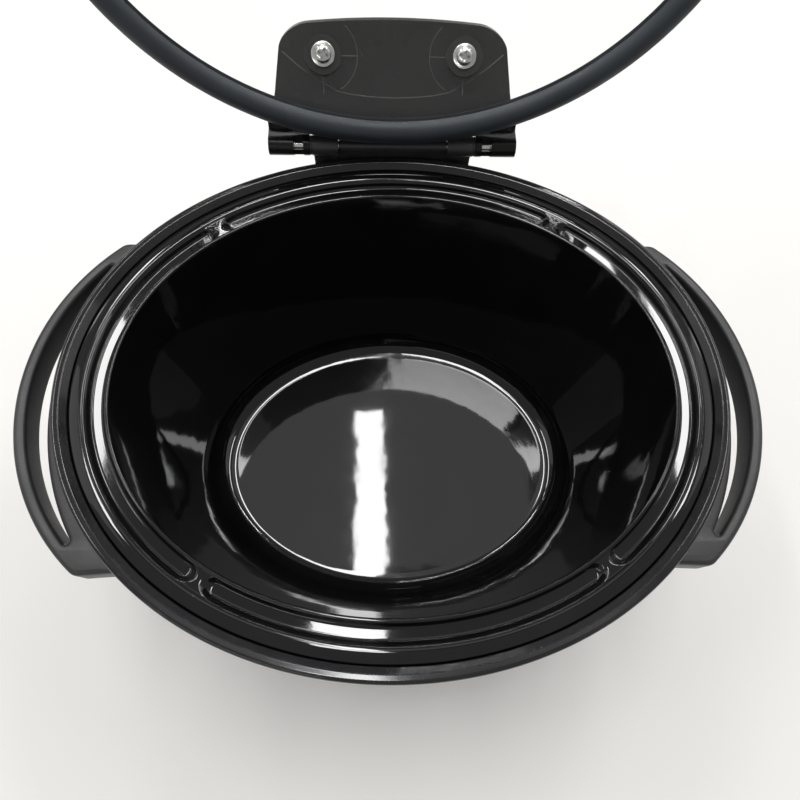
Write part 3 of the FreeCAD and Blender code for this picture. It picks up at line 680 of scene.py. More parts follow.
def sweep(
    name: str,
    section: Sequence[Point2],
    capped: bool = False,
    turns: Optional[Sequence[float]] = None,
    lift: Optional[Callable[[float, float, float], float]] = None,
) -> Object:
    """A section carried round the mouth oval.

    Args:
        name: The object's name.
        section: Points (reach, height) in millimetres.
        capped: Whether the section is open, with both ends filled across the middle.
        turns: Angles round the oval.
        lift: Gives a changed height from an angle, a reach and a height.

    Returns:
        The swept object.
    """
    turns = list(turns or OVAL.turns(240))
    count = len(section)
    total = len(turns)
    points: list[Vector] = []
    faces: list[list[int]] = []
    for turn in turns:
        for reach, height in section:
            points.append(OVAL.spot(turn, reach, lift(turn, reach, height) if lift else height))
    for i in range(total):
        j = (i + 1) % total
        for k in range(count - 1 if capped else count):
            m = (k + 1) % count
            faces.append([i * count + k, j * count + k, j * count + m, i * count + m])
    for k in (0, count - 1) if capped else ():
        ring = [i * count + k for i in range(total)]
        for ratio in (0.66, 0.5):
            inner = list(range(len(points), len(points) + total))
            points += [Vector((points[i].x * ratio, points[i].y * ratio, points[i].z)) for i in ring]
            faces += [[ring[i - 1], ring[i], inner[i], inner[i - 1]] for i in range(total)]
            ring = inner
        middle = len(points)
        points.append(Vector((0.0, 0.0, points[ring[0]].z)))
        faces += [[ring[i - 1], ring[i], middle] for i in range(total)]
    return mesh_object(name, points, faces, CRISP_SWEPT)


def turned(name: str, profile: Sequence[Point2], count: int = 64) -> Object:
    """A shape turned about the Z axis.

    Args:
        name: The object's name.
        profile: Points (radius, height) in millimetres; a radius of zero closes the shape.
        count: How many steps go round.

    Returns:
        The turned object.
    """
    points: list[Vector] = []
    faces: list[list[int]] = []
    size = len(profile)
    for i in range(count):
        a = FULL_TURN * i / count
        points += [Vector((r * math.cos(a), r * math.sin(a), z)) * MM for r, z in profile]
        j = (i + 1) % count
        for k in range(size - 1):
            faces.append([i * size + k, j * size + k, j * size + k + 1, i * size + k + 1])
    piece = mesh_object(name, points, faces)
    with edited(piece.data) as shape:
        bmesh.ops.dissolve_degenerate(shape, edges=shape.edges, dist=1e-7)
        face_outwards(shape)
    return piece


def slab(
    name: str,
    outlines: Sequence[Sequence[Point2]],
    thickness: float,
    edge: float,
    drawn_in: bool = False,
) -> Object:
    """A flat plate with rounded edges, lying on the XY plane from zero up.

    Args:
        name: The object's name.
        outlines: The outer outline and any holes, in millimetres.
        thickness: Its thickness in millimetres.
        edge: The radius of its edges in millimetres.
        drawn_in: Whether the outlines already lie inside the finished edge by that radius.

    Returns:
        The plate.
    """
    curve = bpy.data.curves.new(name, "CURVE")
    curve.dimensions = "2D"
    curve.fill_mode = "BOTH"
    curve.extrude = (thickness / 2 - edge) * MM
    curve.bevel_depth = edge * MM
    curve.bevel_resolution = 4
    curve.offset = 0.0 if drawn_in else -edge * MM
    for outline in outlines:
        spline = curve.splines.new("POLY")
        spline.points.add(len(outline) - 1)
        for point, (x, y) in zip(spline.points, outline):
            point.co = (x * MM, y * MM, 0.0, 1.0)
        spline.use_cyclic_u = True
    holder = linked(name + "_outline", curve)
    mesh = plain_mesh(holder)
    bpy.data.objects.remove(holder)
    with edited(mesh) as shape:
        bmesh.ops.remove_doubles(shape, verts=shape.verts, dist=1e-6)
        face_outwards(shape)
        bmesh.ops.translate(shape, verts=shape.verts, vec=(0.0, 0.0, thickness / 2 * MM))
    return placed(name, mesh, CRISP_PLATE)


def sliced(shape: BMesh, axis: int, places: Iterable[float]) -> None:
    """Cut a shape across an axis at places in millimetres, so that it can be bent."""
    for place in places:
        spot = Vector((0.0, 0.0, 0.0))
        spot[axis] = place * MM
        square = Vector((0.0, 0.0, 0.0))
        square[axis] = 1.0
        everything = shape.verts[:] + shape.edges[:] + shape.faces[:]
        bmesh.ops.bisect_plane(shape, geom=everything, plane_co=spot, plane_no=square)


def cad_copy(node: str, name: str, edge: float, kept_apart: bool = True) -> Object:
    """A merged copy of a CAD node with softened edges.

    Args:
        node: The node to copy.
        name: The new object's name.
        edge: The width of the softened edge in millimetres.
        kept_apart: Whether neighbouring soft edges are narrowed where they would meet.

    Returns:
        The copy.
    """
    mesh = bpy.data.meshes.new(name)
    shape = bmesh.new()
    shape.from_mesh(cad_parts[node].data)
    bmesh.ops.remove_doubles(shape, verts=shape.verts, dist=4e-6)
    bmesh.ops.dissolve_limit(shape, angle_limit=math.radians(0.4), verts=shape.verts, edges=shape.edges)
    shape.to_mesh(mesh)
    shape.free()
    piece = placed(name, mesh)
    bevel = piece.modifiers.new("soft edge", "BEVEL")
    bevel.width = edge * MM
    bevel.segments = 3
    bevel.limit_method = "ANGLE"
    bevel.angle_limit = math.radians(SOFTENED)
    bevel.use_clamp_overlap = kept_apart
    piece.modifiers.new("even faces", "WEIGHTED_NORMAL").keep_sharp = True
    return piece


def settle(piece: Object) -> Object:
    """Turn an object's modifiers into plain mesh."""
    mesh = plain_mesh(piece)
    piece.modifiers.clear()
    piece.data = mesh
    return piece


def moved(piece: Object, place: Matrix) -> Object:
    """Move an object's mesh and leave the object at the origin."""
    piece.data.transform(place)
    piece.data.update()
    return piece


def joined(name: str, pieces: Sequence[Object]) -> Object:
    """One object from several, keeping each one's faces as they are."""
    shape = bmesh.new()
    for piece in pieces:
        shape.from_mesh(piece.data)
    mesh = bpy.data.meshes.new(name)
    shape.to_mesh(mesh)
    shape.free()
    for piece in pieces:
        bpy.data.objects.remove(piece)
    return placed(name, mesh)


def along(point: Vector, direction: Vector) -> Matrix:
    """A place at a point whose Z axis looks along a direction."""
    return Matrix.Translation(point) @ UP.rotation_difference(direction).to_matrix().to_4x4()


def dressed(piece: Object, finish: Finish, body: Body, stands_for: Sequence[str] = ()) -> None:
    """Give a piece its finish and body, and hide the CAD nodes that it stands for.

    Args:
        piece: The finished mesh object.
        finish: Its finish.
        body: The body it rides on.
        stands_for: CAD nodes that it replaces.
    """
    if piece.modifiers:
        settle(piece)
    piece.data.materials.clear()
    piece.data.materials.append(finish.material())
    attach(piece, body.value)
    if stands_for:
        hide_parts(*stands_for)
    log.info("%s: %d faces, rides on %s", piece.name, len(piece.data.polygons), body.value)


def dress_nodes(finish: Finish, *nodes: str) -> None:
    """Give CAD nodes that stay in view their finish."""
    for node in nodes:
        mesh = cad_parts[node].data
        mesh.materials.clear()
        mesh.materials.append(finish.material())
        log.info("%s: CAD shape kept, %s", node, finish.name)


# Geometry node trees


class Repeat:
    """Geometry trees that set out what repeats."""

    @staticmethod
    def start(name: str, inputs: Sequence[tuple[str, str, object]]) -> tuple[Tree, Node, Node]:
        """Begin a geometry tree.

        Args:
            name: The tree's name.
            inputs: Name, socket type and default of each input.

        Returns:
            The tree, its input node and its output node.
        """
        tree = bpy.data.node_groups.new(name, "GeometryNodeTree")
        tree.interface.new_socket("Geometry", in_out="INPUT", socket_type="NodeSocketGeometry")
        for key, kind, value in inputs:
            socket = tree.interface.new_socket(key, in_out="INPUT", socket_type=kind)
            if value is not None:
                socket.default_value = value
        tree.interface.new_socket("Geometry", in_out="OUTPUT", socket_type="NodeSocketGeometry")
        kit = Tree(tree)
        return kit, kit.add("NodeGroupInput"), kit.add("NodeGroupOutput")

    @staticmethod
    def close(kit: Tree, given: Node, end: Node, shape: NodeSocket) -> NodeTree:
        """Make the instances real, set their material and end the tree."""
        real = kit.add("GeometryNodeRealizeInstances", {"Geometry": shape}).outputs[0]
        made = kit.add("GeometryNodeSetMaterial", {"Geometry": real, "Material": given.outputs["Material"]})
        kit.put(end.inputs["Geometry"], made.outputs[0])
        return kit.tree

    @staticmethod
    def set_at(kit: Tree, given: Node, points: NodeSocket, rotation: NodeSocket) -> NodeSocket:
        """Set the tree's piece at points and return the instances."""
        piece = kit.add("GeometryNodeObjectInfo", {"Object": given.outputs["Piece"]})
        keys = {"Points": points, "Instance": piece.outputs["Geometry"], "Rotation": rotation}
        return kit.add("GeometryNodeInstanceOnPoints", keys).outputs[0]

    @classmethod
    def at_points(cls) -> NodeTree:
        """A piece set at each point of a mesh, looking along the point's stored direction."""
        kit, given, end = cls.start("Pieces at points", [
            ("Piece", "NodeSocketObject", None),
            ("Material", "NodeSocketMaterial", None),
            ("Spin step", "NodeSocketFloat", 0.7),
        ])
        way = kit.add("GeometryNodeInputNamedAttribute", {"Name": "way"}, data_type="FLOAT_VECTOR")
        turn = kit.add("FunctionNodeAlignRotationToVector", {"Vector": way.outputs[0]}, axis="Z")
        number = kit.add("GeometryNodeInputIndex").outputs[0]
        spun = kit.math("MULTIPLY", number, given.outputs["Spin step"])
        spin = kit.add("ShaderNodeCombineXYZ", {"Z": spun})
        local = kit.add("FunctionNodeEulerToRotation", {0: spin.outputs[0]})
        rotations = {0: turn.outputs[0], 1: local.outputs[0]}
        both = kit.add("FunctionNodeRotateRotation", rotations, rotation_space="LOCAL")
        return cls.close(kit, given, end, cls.set_at(kit, given, given.outputs["Geometry"], both.outputs[0]))

    @classmethod
    def round_about(cls) -> NodeTree:
        """A piece repeated on part of a circle in the XY plane, turned to face outwards."""
        kit, given, end = cls.start("Pieces round a circle", [
            ("Piece", "NodeSocketObject", None),
            ("Material", "NodeSocketMaterial", None),
            ("Count", "NodeSocketInt", 12),
            ("Radius", "NodeSocketFloat", 0.02),
            ("First angle", "NodeSocketFloat", 0.0),
            ("Angle step", "NodeSocketFloat", 0.5),
        ])
        row = kit.add("GeometryNodePoints", {"Count": given.outputs["Count"]})
        number = kit.add("GeometryNodeInputIndex").outputs[0]
        angle = kit.math("MULTIPLY_ADD", number, given.outputs["Angle step"], given.outputs["First angle"])
        x = kit.math("MULTIPLY", kit.math("COSINE", angle), given.outputs["Radius"])
        y = kit.math("MULTIPLY", kit.math("SINE", angle), given.outputs["Radius"])
        spot = kit.add("ShaderNodeCombineXYZ", {"X": x, "Y": y}).outputs[0]
        set_out = kit.add("GeometryNodeSetPosition", {"Geometry": row.outputs[0], "Position": spot})
        spin = kit.add("ShaderNodeCombineXYZ", {"Z": angle})
        turn = kit.add("FunctionNodeEulerToRotation", {0: spin.outputs[0]})
        return cls.close(kit, given, end, cls.set_at(kit, given, set_out.outputs[0], turn.outputs[0]))

    @classmethod
    def along_lines(cls) -> NodeTree:
        """A section carried along each line of a mesh, with the section's first axis level."""
        kit, given, end = cls.start("Section along lines", [
            ("Section", "NodeSocketObject", None),
            ("Material", "NodeSocketMaterial", None),
        ])
        line = kit.add("GeometryNodeMeshToCurve", {"Mesh": given.outputs["Geometry"]})
        level = kit.add("GeometryNodeSetCurveNormal", {"Curve": line.outputs[0]}, mode="Z_UP")
        drawn = kit.add("GeometryNodeObjectInfo", {"Object": given.outputs["Section"]})
        outline = kit.add("GeometryNodeMeshToCurve", {"Mesh": drawn.outputs["Geometry"]})
        keys = {"Curve": level.outputs[0], "Profile Curve": outline.outputs[0], "Fill Caps": True}
        return cls.close(kit, given, end, kit.add("GeometryNodeCurveToMesh", keys).outputs[0])

    @staticmethod
    def run(name: str, tree: NodeTree, mesh: Mesh, values: dict[str, object]) -> Object:
        """Run a tree on a mesh and keep the result as a plain mesh.

        Args:
            name: The object's name.
            tree: The geometry tree.
            mesh: The mesh that goes in.
            values: Values of the tree's inputs, by name.

        Returns:
            The finished object.
        """
        piece = linked(name, mesh)
        layer = piece.modifiers.new("set out", "NODES")
        layer.node_group = tree
        for item in tree.interface.items_tree:
            if item.in_out == "INPUT" and item.name in values:
                layer[item.identifier] = values[item.name]
        return settle(piece)


def repeated(name: str, part: Object, places: Sequence[Place], finish: Finish, spin: float = 0.7) -> Object:
    """One mesh of a part repeated at places.

    Args:
        name: The new object's name.
        part: The part, built up the Z axis at the origin; it is used up.
        places: Point and direction of each.
        finish: The finish that the tree sets.
        spin: Turn added from one to the next, in radians.

    Returns:
        The finished object.
    """
    mesh = bpy.data.meshes.new(name)
    mesh.from_pydata([tuple(p) for p, _ in places], [], [])
    ways = mesh.attributes.new("way", "FLOAT_VECTOR", "POINT")
    for item, (_, direction) in zip(ways.data, places):
        item.vector = direction
    values = {"Piece": part, "Material": finish.material(), "Spin step": spin}
    piece = Repeat.run(name, Repeat.at_points(), mesh, values)
    bpy.data.objects.remove(part)
    return piece


def ringed(
    name: str,
    part: Object,
    finish: Finish,
    count: int,
    radius: float,
    first: float,
    step: float,
) -> Object:
    """One mesh of a part repeated on part of a circle about the Z axis.

    Args:
        name: The new object's name.
        part: The part, built at the origin with its outer side along the X axis; it is used up.
        finish: The finish that the tree sets.
        count: How many there are.
        radius: The circle's radius in millimetres.
        first: Angle of the first, in degrees.
        step: Angle from one to the next, in degrees.

    Returns:
        The finished object.
    """
    values = {
        "Piece": part,
        "Material": finish.material(),
        "Count": count,
        "Radius": radius * MM,
        "First angle": math.radians(first),
        "Angle step": math.radians(step),
    }
    piece = Repeat.run(name, Repeat.round_about(), bpy.data.meshes.new(name), values)
    bpy.data.objects.remove(part)
    return piece


def line_mesh(name: str, lines: Sequence[Line]) -> Mesh:
    """A mesh of bare lines; each is its points and whether it closes on itself."""
    points: list[tuple] = []
    edges: list[tuple[int, int]] = []
    for line, closed in lines:
        first = len(points)
        size = len(line)
        edges += [(first + k, first + (k + 1) % size) for k in range(size if closed else size - 1)]
        points += [tuple(point) for point in line]
    mesh = bpy.data.meshes.new(name)
    mesh.from_pydata(points, edges, [])
    return mesh


def carried(name: str, lines: Sequence[Line], section: Sequence[Point2], finish: Finish) -> Object:
    """A closed section carried along lines.

    Args:
        name: The new object's name.
        lines: Points of each line in metres, and whether it closes on itself.
        section: The section's points in millimetres: outwards from the line, and down.
        finish: The finish that the tree sets.

    Returns:
        The finished object.
    """
    outline = line_mesh(name + "_section", [([Vector((x, y, 0.0)) * MM for x, y in section], True)])
    holder = linked(name + "_section", outline)
    values = {"Section": holder, "Material": finish.material()}
    piece = Repeat.run(name, Repeat.along_lines(), line_mesh(name, lines), values)
    bpy.data.objects.remove(holder)
    with edited(piece.data) as shape:
        face_outwards(shape)
    crisp(piece.data, CRISP_CARRIED)
    return piece


# The cooker's sub-assemblies


@dataclass
class Crock:
    """The glazed crock that lifts out, in millimetres, with its ridges' angles in degrees."""

    depth: float = 148.0
    floor: float = 9.0
    wall: float = 8.0
    lean: float = 21.0
    floor_round: float = 14.0
    lip: float = 2.0
    channel_start: float = 2.9
    channel_end: float = 9.6
    channel_depth: float = 4.0
    channel_slope: float = 1.9
    channel_steps: int = 6
    roll_middle: float = 15.8
    roll_radius: float = 14.0
    flange_reach: float = 19.3
    flange_drop: float = 8.0
    foot_reach: float = -34.0
    foot_slope: float = 1.2
    foot_rise: float = 0.9
    ridge_start: float = 0.9
    ridge_rise: float = 3.4
    ridge_bow: float = 2.0
    ridge_flat: float = 1.2
    ridge_width: float = 6.4
    ridge_angle: float = 51.0
    ridge_turn: float = 1.5

    def outside(self, height: float) -> float:
        """Reach of the outer wall at a height from the rim."""
        return self.wall + self.lean / self.depth * height

    def section(self) -> list[Point2]:
        """Section from the middle of the floor over the rim to the middle of the underside."""
        under = -self.depth - self.floor
        line = rounded([
            (FLOOR_START, -self.depth),
            (-self.lean, -self.depth, self.floor_round),
            (0.0, 0.05, 1.1),
            (self.lip, 0.05, 1.1),
            (self.channel_start, -self.channel_depth, 2.2),
            (self.channel_end, -self.channel_depth, 2.2),
            (self.channel_end + self.channel_slope, 0.2, 3.0),
            (self.roll_middle, 0.15, self.roll_radius),
            (self.flange_reach, -0.9, 1.1),
            (self.flange_reach - 0.7, -self.flange_drop, 1.5),
            (self.outside(-self.flange_drop), -self.flange_drop, 2.0),
            (self.outside(under), under, self.floor_round + 2.0),
            (self.foot_reach, under, 0.6),
            (self.foot_reach - self.foot_slope, under + self.foot_rise, 0.6),
            (FLOOR_START, under + self.foot_rise),
        ], closed=False)
        fine: list[Point2] = []
        for start, end in zip(line, line[1:]):
            flat = start[1] == end[1] == -self.channel_depth
            fine += divided(start, end, self.channel_steps if flat else 1)
        return fine + line[-1:]

    def ridge_turns(self) -> list[float]:
        """Angles of the four ridges across the channel."""
        a = self.ridge_angle
        return [math.radians(step + self.ridge_turn) for step in (a, 180.0 - a, 180.0 + a, 360.0 - a)]

    def lift(self, turn: float, reach: float, height: float) -> float:
        """Height of a rim point with the ridges blended in.

        Args:
            turn: Angle round the oval.
            reach: Reach of the point.
            height: Its height in the plain section.

        Returns:
            Its height with the ridges.
        """
        top = self.ridge_rise - self.channel_depth
        across = self.ridge_start < reach < self.channel_end + self.channel_slope
        if not across or not -self.channel_depth - 0.2 < height < top:
            return height
        middle_reach = (self.channel_start + self.channel_end) / 2
        bowed = self.ridge_bow * ((reach - middle_reach) / (self.channel_end - middle_reach)) ** 2
        speed = math.hypot(OVAL.half_long * math.sin(turn), OVAL.half_wide * math.cos(turn)) + reach
        for middle in self.ridge_turns():
            away = gap_between(turn, middle) * speed - bowed
            height += eased((self.ridge_width - away) / (self.ridge_width - self.ridge_flat)) * (top - height)
        return height

    def build(self) -> None:
        """Make and dress the crock."""
        turns = OVAL.turns(220, self.ridge_turns())
        piece = sweep("crock", self.section(), capped=True, turns=turns, lift=self.lift)
        dressed(piece, Finishes.glaze, Body.CROCK, ["stoneware_crock"])


@dataclass
class Shell:
    """Rim collar, housing, heating well and base plate, in millimetres."""

    ledge_top: float = -8.05
    ledge: float = 2.5
    collar_inner: float = 19.75
    collar_reach: float = 26.9
    collar_slope: float = 3.0
    collar_rise: float = 2.6
    skirt_drop: float = 14.0
    house_reach: float = 24.1
    house_foot: float = 12.0
    house_sheet: float = 1.2
    bend_drop: float = 38.0
    bend_radius: float = 150.0
    hem: float = 0.75
    hem_top: float = 2.4
    flare: float = 0.3
    flare_top: float = 4.0
    plate_top: float = -181.0
    plate_sheet: float = 1.5
    bead: tuple[float, float, float, float] = (1.0, -1.0, -6.0, -8.0)
    bead_drop: float = 1.2
    well_floor: float = -160.0
    well_sheet: float = 1.0
    well_round: float = 14.0
    well_gap: float = 3.5
    well_flange: float = 17.0
    fine_turns: int = 320

    def house_outside(self, height: float) -> float:
        """Reach of the housing's outer face at a height from the rim."""
        if height > -self.bend_drop:
            return self.house_reach
        share = (-self.bend_drop - height) / (-self.bend_drop - self.plate_top)
        return self.house_reach + (self.house_foot - self.house_reach) * share

    def well_inside(self, height: float) -> float:
        """Reach of the well's inner wall at a height from the rim."""
        return Crock().outside(height) + self.well_gap

    def build(self) -> None:
        """Make and dress the shell pieces."""
        under = self.ledge_top - self.ledge
        lip = self.well_inside(under)
        collar = sweep("collar", rounded([
            (self.collar_inner, -0.4, 0.6),
            (self.collar_inner + self.collar_slope, self.collar_rise - 0.4, 1.4),
            (self.collar_reach, self.collar_rise, 2.0),
            (self.collar_reach - 0.1, -self.skirt_drop, 0.5),
            (self.house_reach + 0.05, -self.skirt_drop, 0.3),
            (self.house_reach + 0.05, under, 0.2),
            (lip, under, 0.5),
            (lip, self.ledge_top, 0.5),
            (self.collar_inner, self.ledge_top, 0.5),
        ]), turns=OVAL.turns(self.fine_turns))
        dressed(collar, Finishes.gloss_black, Body.BASE, ["rim_collar"])
        foot = self.house_foot
        inner = self.house_reach - self.house_sheet
        inner_foot = foot - self.house_sheet
        end = self.plate_top + 0.02
        house = sweep("housing", rounded([
            (self.house_reach, under, 0.3),
            (self.house_reach, -self.bend_drop, self.bend_radius),
            (foot + self.flare, self.plate_top + self.flare_top, 3.0),
            (foot + self.hem, self.plate_top + self.hem_top, 0.8),
            (foot + self.hem, end, 0.5),
            (inner_foot, end, 0.3),
            (inner_foot + self.flare, self.plate_top + self.flare_top, 3.0),
            (inner, -self.bend_drop, self.bend_radius),
            (inner, under, 0.3),
        ], steps=9), turns=OVAL.turns(self.fine_turns))
        dressed(house, Finishes.housing_paint, Body.BASE, ["outer_housing"])
        step = self.well_sheet
        well = sweep("well", rounded([
            (FLOOR_START, self.well_floor),
            (self.well_inside(self.well_floor), self.well_floor, self.well_round),
            (lip, under, 2.0),
            (self.well_flange, under, 0.2),
            (self.well_flange, under - step, 0.2),
            (lip + step, under - step, 1.0),
            (self.well_inside(self.well_floor) + step, self.well_floor - step, self.well_round + step),
            (FLOOR_START, self.well_floor - step),
        ], closed=False), capped=True)
        dressed(well, Finishes.bare_sheet, Body.BASE, ["heating_well"])
        low = self.plate_top - self.plate_sheet
        edge = foot + 0.8
        plate = sweep("floor_plate", rounded([
            (FLOOR_START, self.plate_top),
            (edge, self.plate_top, 0.3),
            (edge, low, 0.7),
            (self.bead[0], low, 0.6),
            (self.bead[1], low - self.bead_drop, 0.8),
            (self.bead[2], low - self.bead_drop, 0.8),
            (self.bead[3], low, 0.6),
            (FLOOR_START, low),
        ], closed=False), capped=True)
        dressed(plate, Finishes.base_paint, Body.BASE, ["base_plate"])


def cross_recess(piece: Object, top: float, bottom: float, reach: float) -> Object:
    """Cut a cross recess into a screw head that looks down the Z axis.

    Args:
        piece: The screw.
        top: Height where the cut starts, outside the head, in millimetres.
        bottom: Height of the recess floor.
        reach: Half length of the cross at its mouth.

    Returns:
        The screw.
    """
    points: list[Vector] = []
    for height, long, wide in ((top, reach * 1.15, reach * 0.27), (bottom, reach * 0.5, reach * 0.15)):
        for turn in range(4):
            for p, q in ((long, -wide), (long, wide), (wide, wide)):
                x, y = spun(p, q, turn * math.pi / 2)
                points.append(Vector((x, y, height)) * MM)
    size = len(points) // 2
    faces = [list(range(size)), list(range(size, 2 * size))]
    faces += [[i, (i + 1) % size, size + (i + 1) % size, size + i] for i in range(size)]
    tool = mesh_object("recess_tool", points, faces)
    cut = piece.modifiers.new("recess", "BOOLEAN")
    cut.object = tool
    cut.solver = "EXACT"
    settle(piece)
    bpy.data.objects.remove(tool)
    crisp(piece.data, CRISP_PLATE)
    return piece


def washer_screw(name: str, grip: float) -> Object:
    """A pan screw with a pressed washer, head down, shank up the Z axis."""
    head = [
        (0.0, -3.9), (1.6, -3.88), (2.7, -3.72), (3.5, -3.35), (4.0, -2.85), (4.25, -2.2), (4.3, -1.55),
        (4.45, -1.3), (4.8, -1.22), (5.75, -1.12), (6.05, -0.95), (6.2, -0.65), (6.2, -0.2), (6.1, -0.03),
        (5.9, 0.0), (2.0, 0.0),
    ]
    screw = turned(name, head + [(2.0, grip), (0.0, grip)], 56)
    return cross_recess(screw, top=-5.0, bottom=-0.5, reach=2.7)


@dataclass
class Underside:
    """Feet, their screws and the tie fittings under the base plate, in millimetres."""

    foot_x: float = 94.38
    foot_y: float = 70.68

    def places(self) -> list[Place]:
        """Point and direction of each foot."""
        return [(Vector((x * self.foot_x, y * self.foot_y, 0.0)) * MM, UP) for x in (-1, 1) for y in (-1, 1)]

    def build(self) -> None:
        """Make and dress what stands on the table."""
        outline = rounded([
            (5.0, 0.0, 0.5), (9.5, 0.0, 1.2), (10.2, 4.2, 0.4), (9.6, 4.7, 0.3), (9.7, 5.6, 0.3),
            (10.5, 6.1, 0.4), (11.0, 9.0, 0.3), (2.1, 9.0, 0.1), (2.1, 4.5, 0.1), (5.0, 4.5, 0.2),
        ])
        foot = turned("foot_part", outline + outline[:1], 48)
        names = ["foot_front_left", "foot_front_right", "foot_back_left", "foot_back_right"]
        feet = repeated("feet", foot, self.places(), Finishes.foot_rubber)
        dressed(feet, Finishes.foot_rubber, Body.BASE, names)
        head = [(0.0, 2.2), (2.6, 2.24), (3.5, 2.5), (3.95, 3.1), (4.0, 4.5)]
        shank = [(2.0, 4.5), (2.0, 14.5), (0.0, 14.5)]
        screw = cross_recess(turned("foot_screw_part", head + shank, 32), top=1.2, bottom=3.4, reach=2.4)
        screws = repeated("foot_screws_made", screw, self.places(), Finishes.bright_steel, 0.9)
        dressed(screws, Finishes.bright_steel, Body.BASE, ["foot_screws"])
        dress_nodes(Finishes.bright_steel, "tie_stud", "tie_washer", "tie_nut")


@dataclass
class Handles:
    """The two slotted handles on the housing, in millimetres."""

    centre: float = 76.0
    radius: float = 120.0
    bar: float = 6.5
    height: float = 17.0
    top: float = -14.0
    slot_centre: float = 38.0
    slot_radius: float = 140.7
    slot_end: float = 3.0
    edge: float = 2.6
    sunk: float = 1.5
    half: float = 92.0
    corner: float = 7.0

    def slot_inner(self, turn: float) -> float:
        """Distance from the handle's centre to the slot's inner side at an angle."""
        shift = self.centre - self.slot_centre
        return -shift * math.cos(turn) + math.sqrt(self.slot_radius ** 2 - (shift * math.sin(turn)) ** 2)

    def outer_outline(self) -> list[Point2]:
        """The round outer side and square ends, drawn in from the finished edge by the edge radius."""
        reach = Shell().house_reach - self.sunk + self.edge
        wall = [OVAL.spot(math.radians(t / 4), reach, 0.0) / MM for t in range(-320, 321)]
        kept = [(p.x, p.y) for p in wall if abs(p.y) < self.half - self.edge]
        level = self.half - self.corner
        end = math.degrees(math.asin(level / (self.radius - self.corner)))
        middle = (self.centre + math.sqrt((self.radius - self.corner) ** 2 - level ** 2), level)
        upper = arc(middle, self.corner - self.edge, end, 90.0, 8)
        lower = [(x, -y) for x, y in reversed(upper)]
        outer = arc((self.centre, 0.0), self.radius - self.edge, -end, end, 90)
        return outer[1:-1] + upper + kept[::-4] + lower

    def slot_outline(self) -> list[Point2]:
        """The finger slot, drawn out from its finished edge by the edge radius."""
        far = self.radius - self.bar
        turns = [math.radians(t / 2) for t in range(-101, 102)]
        kept = [t for t in turns if far - self.slot_inner(t) > self.slot_end]

        def at(turn: float, distance: float) -> Point2:
            """The point at an angle and a distance from the handle's centre."""
            return (self.centre + distance * math.cos(turn), distance * math.sin(turn))

        last = kept[-1]
        middle = (far + self.slot_inner(last)) / 2
        half = (far - self.slot_inner(last)) / 2 + self.edge
        lean = math.degrees(last)
        upper = arc(at(last, middle), half, lean, lean + 180.0, 14)
        lower = [(x, -y) for x, y in reversed(upper)]
        outer = [at(t, far + self.edge) for t in kept[1:-1]]
        inner = [at(t, self.slot_inner(t) - self.edge) for t in reversed(kept[1:-1])]
        return outer + upper + inner + lower

    def build(self) -> None:
        """Make and dress both handles and their screws."""
        for side, name in ((1, "right"), (-1, "left")):
            pair = (self.outer_outline(), self.slot_outline())
            outlines = [[(x * side, y) for x, y in outline] for outline in pair]
            piece = slab("carry_handle_" + name, outlines, self.height, self.edge, drawn_in=True)
            moved(piece, Matrix.Translation((0.0, 0.0, (OVAL.rim + self.top - self.height) * MM)))
            dressed(piece, Finishes.satin_black, Body.BASE, ["handle_" + name])
        dress_nodes(Finishes.bright_steel, "handle_screws")


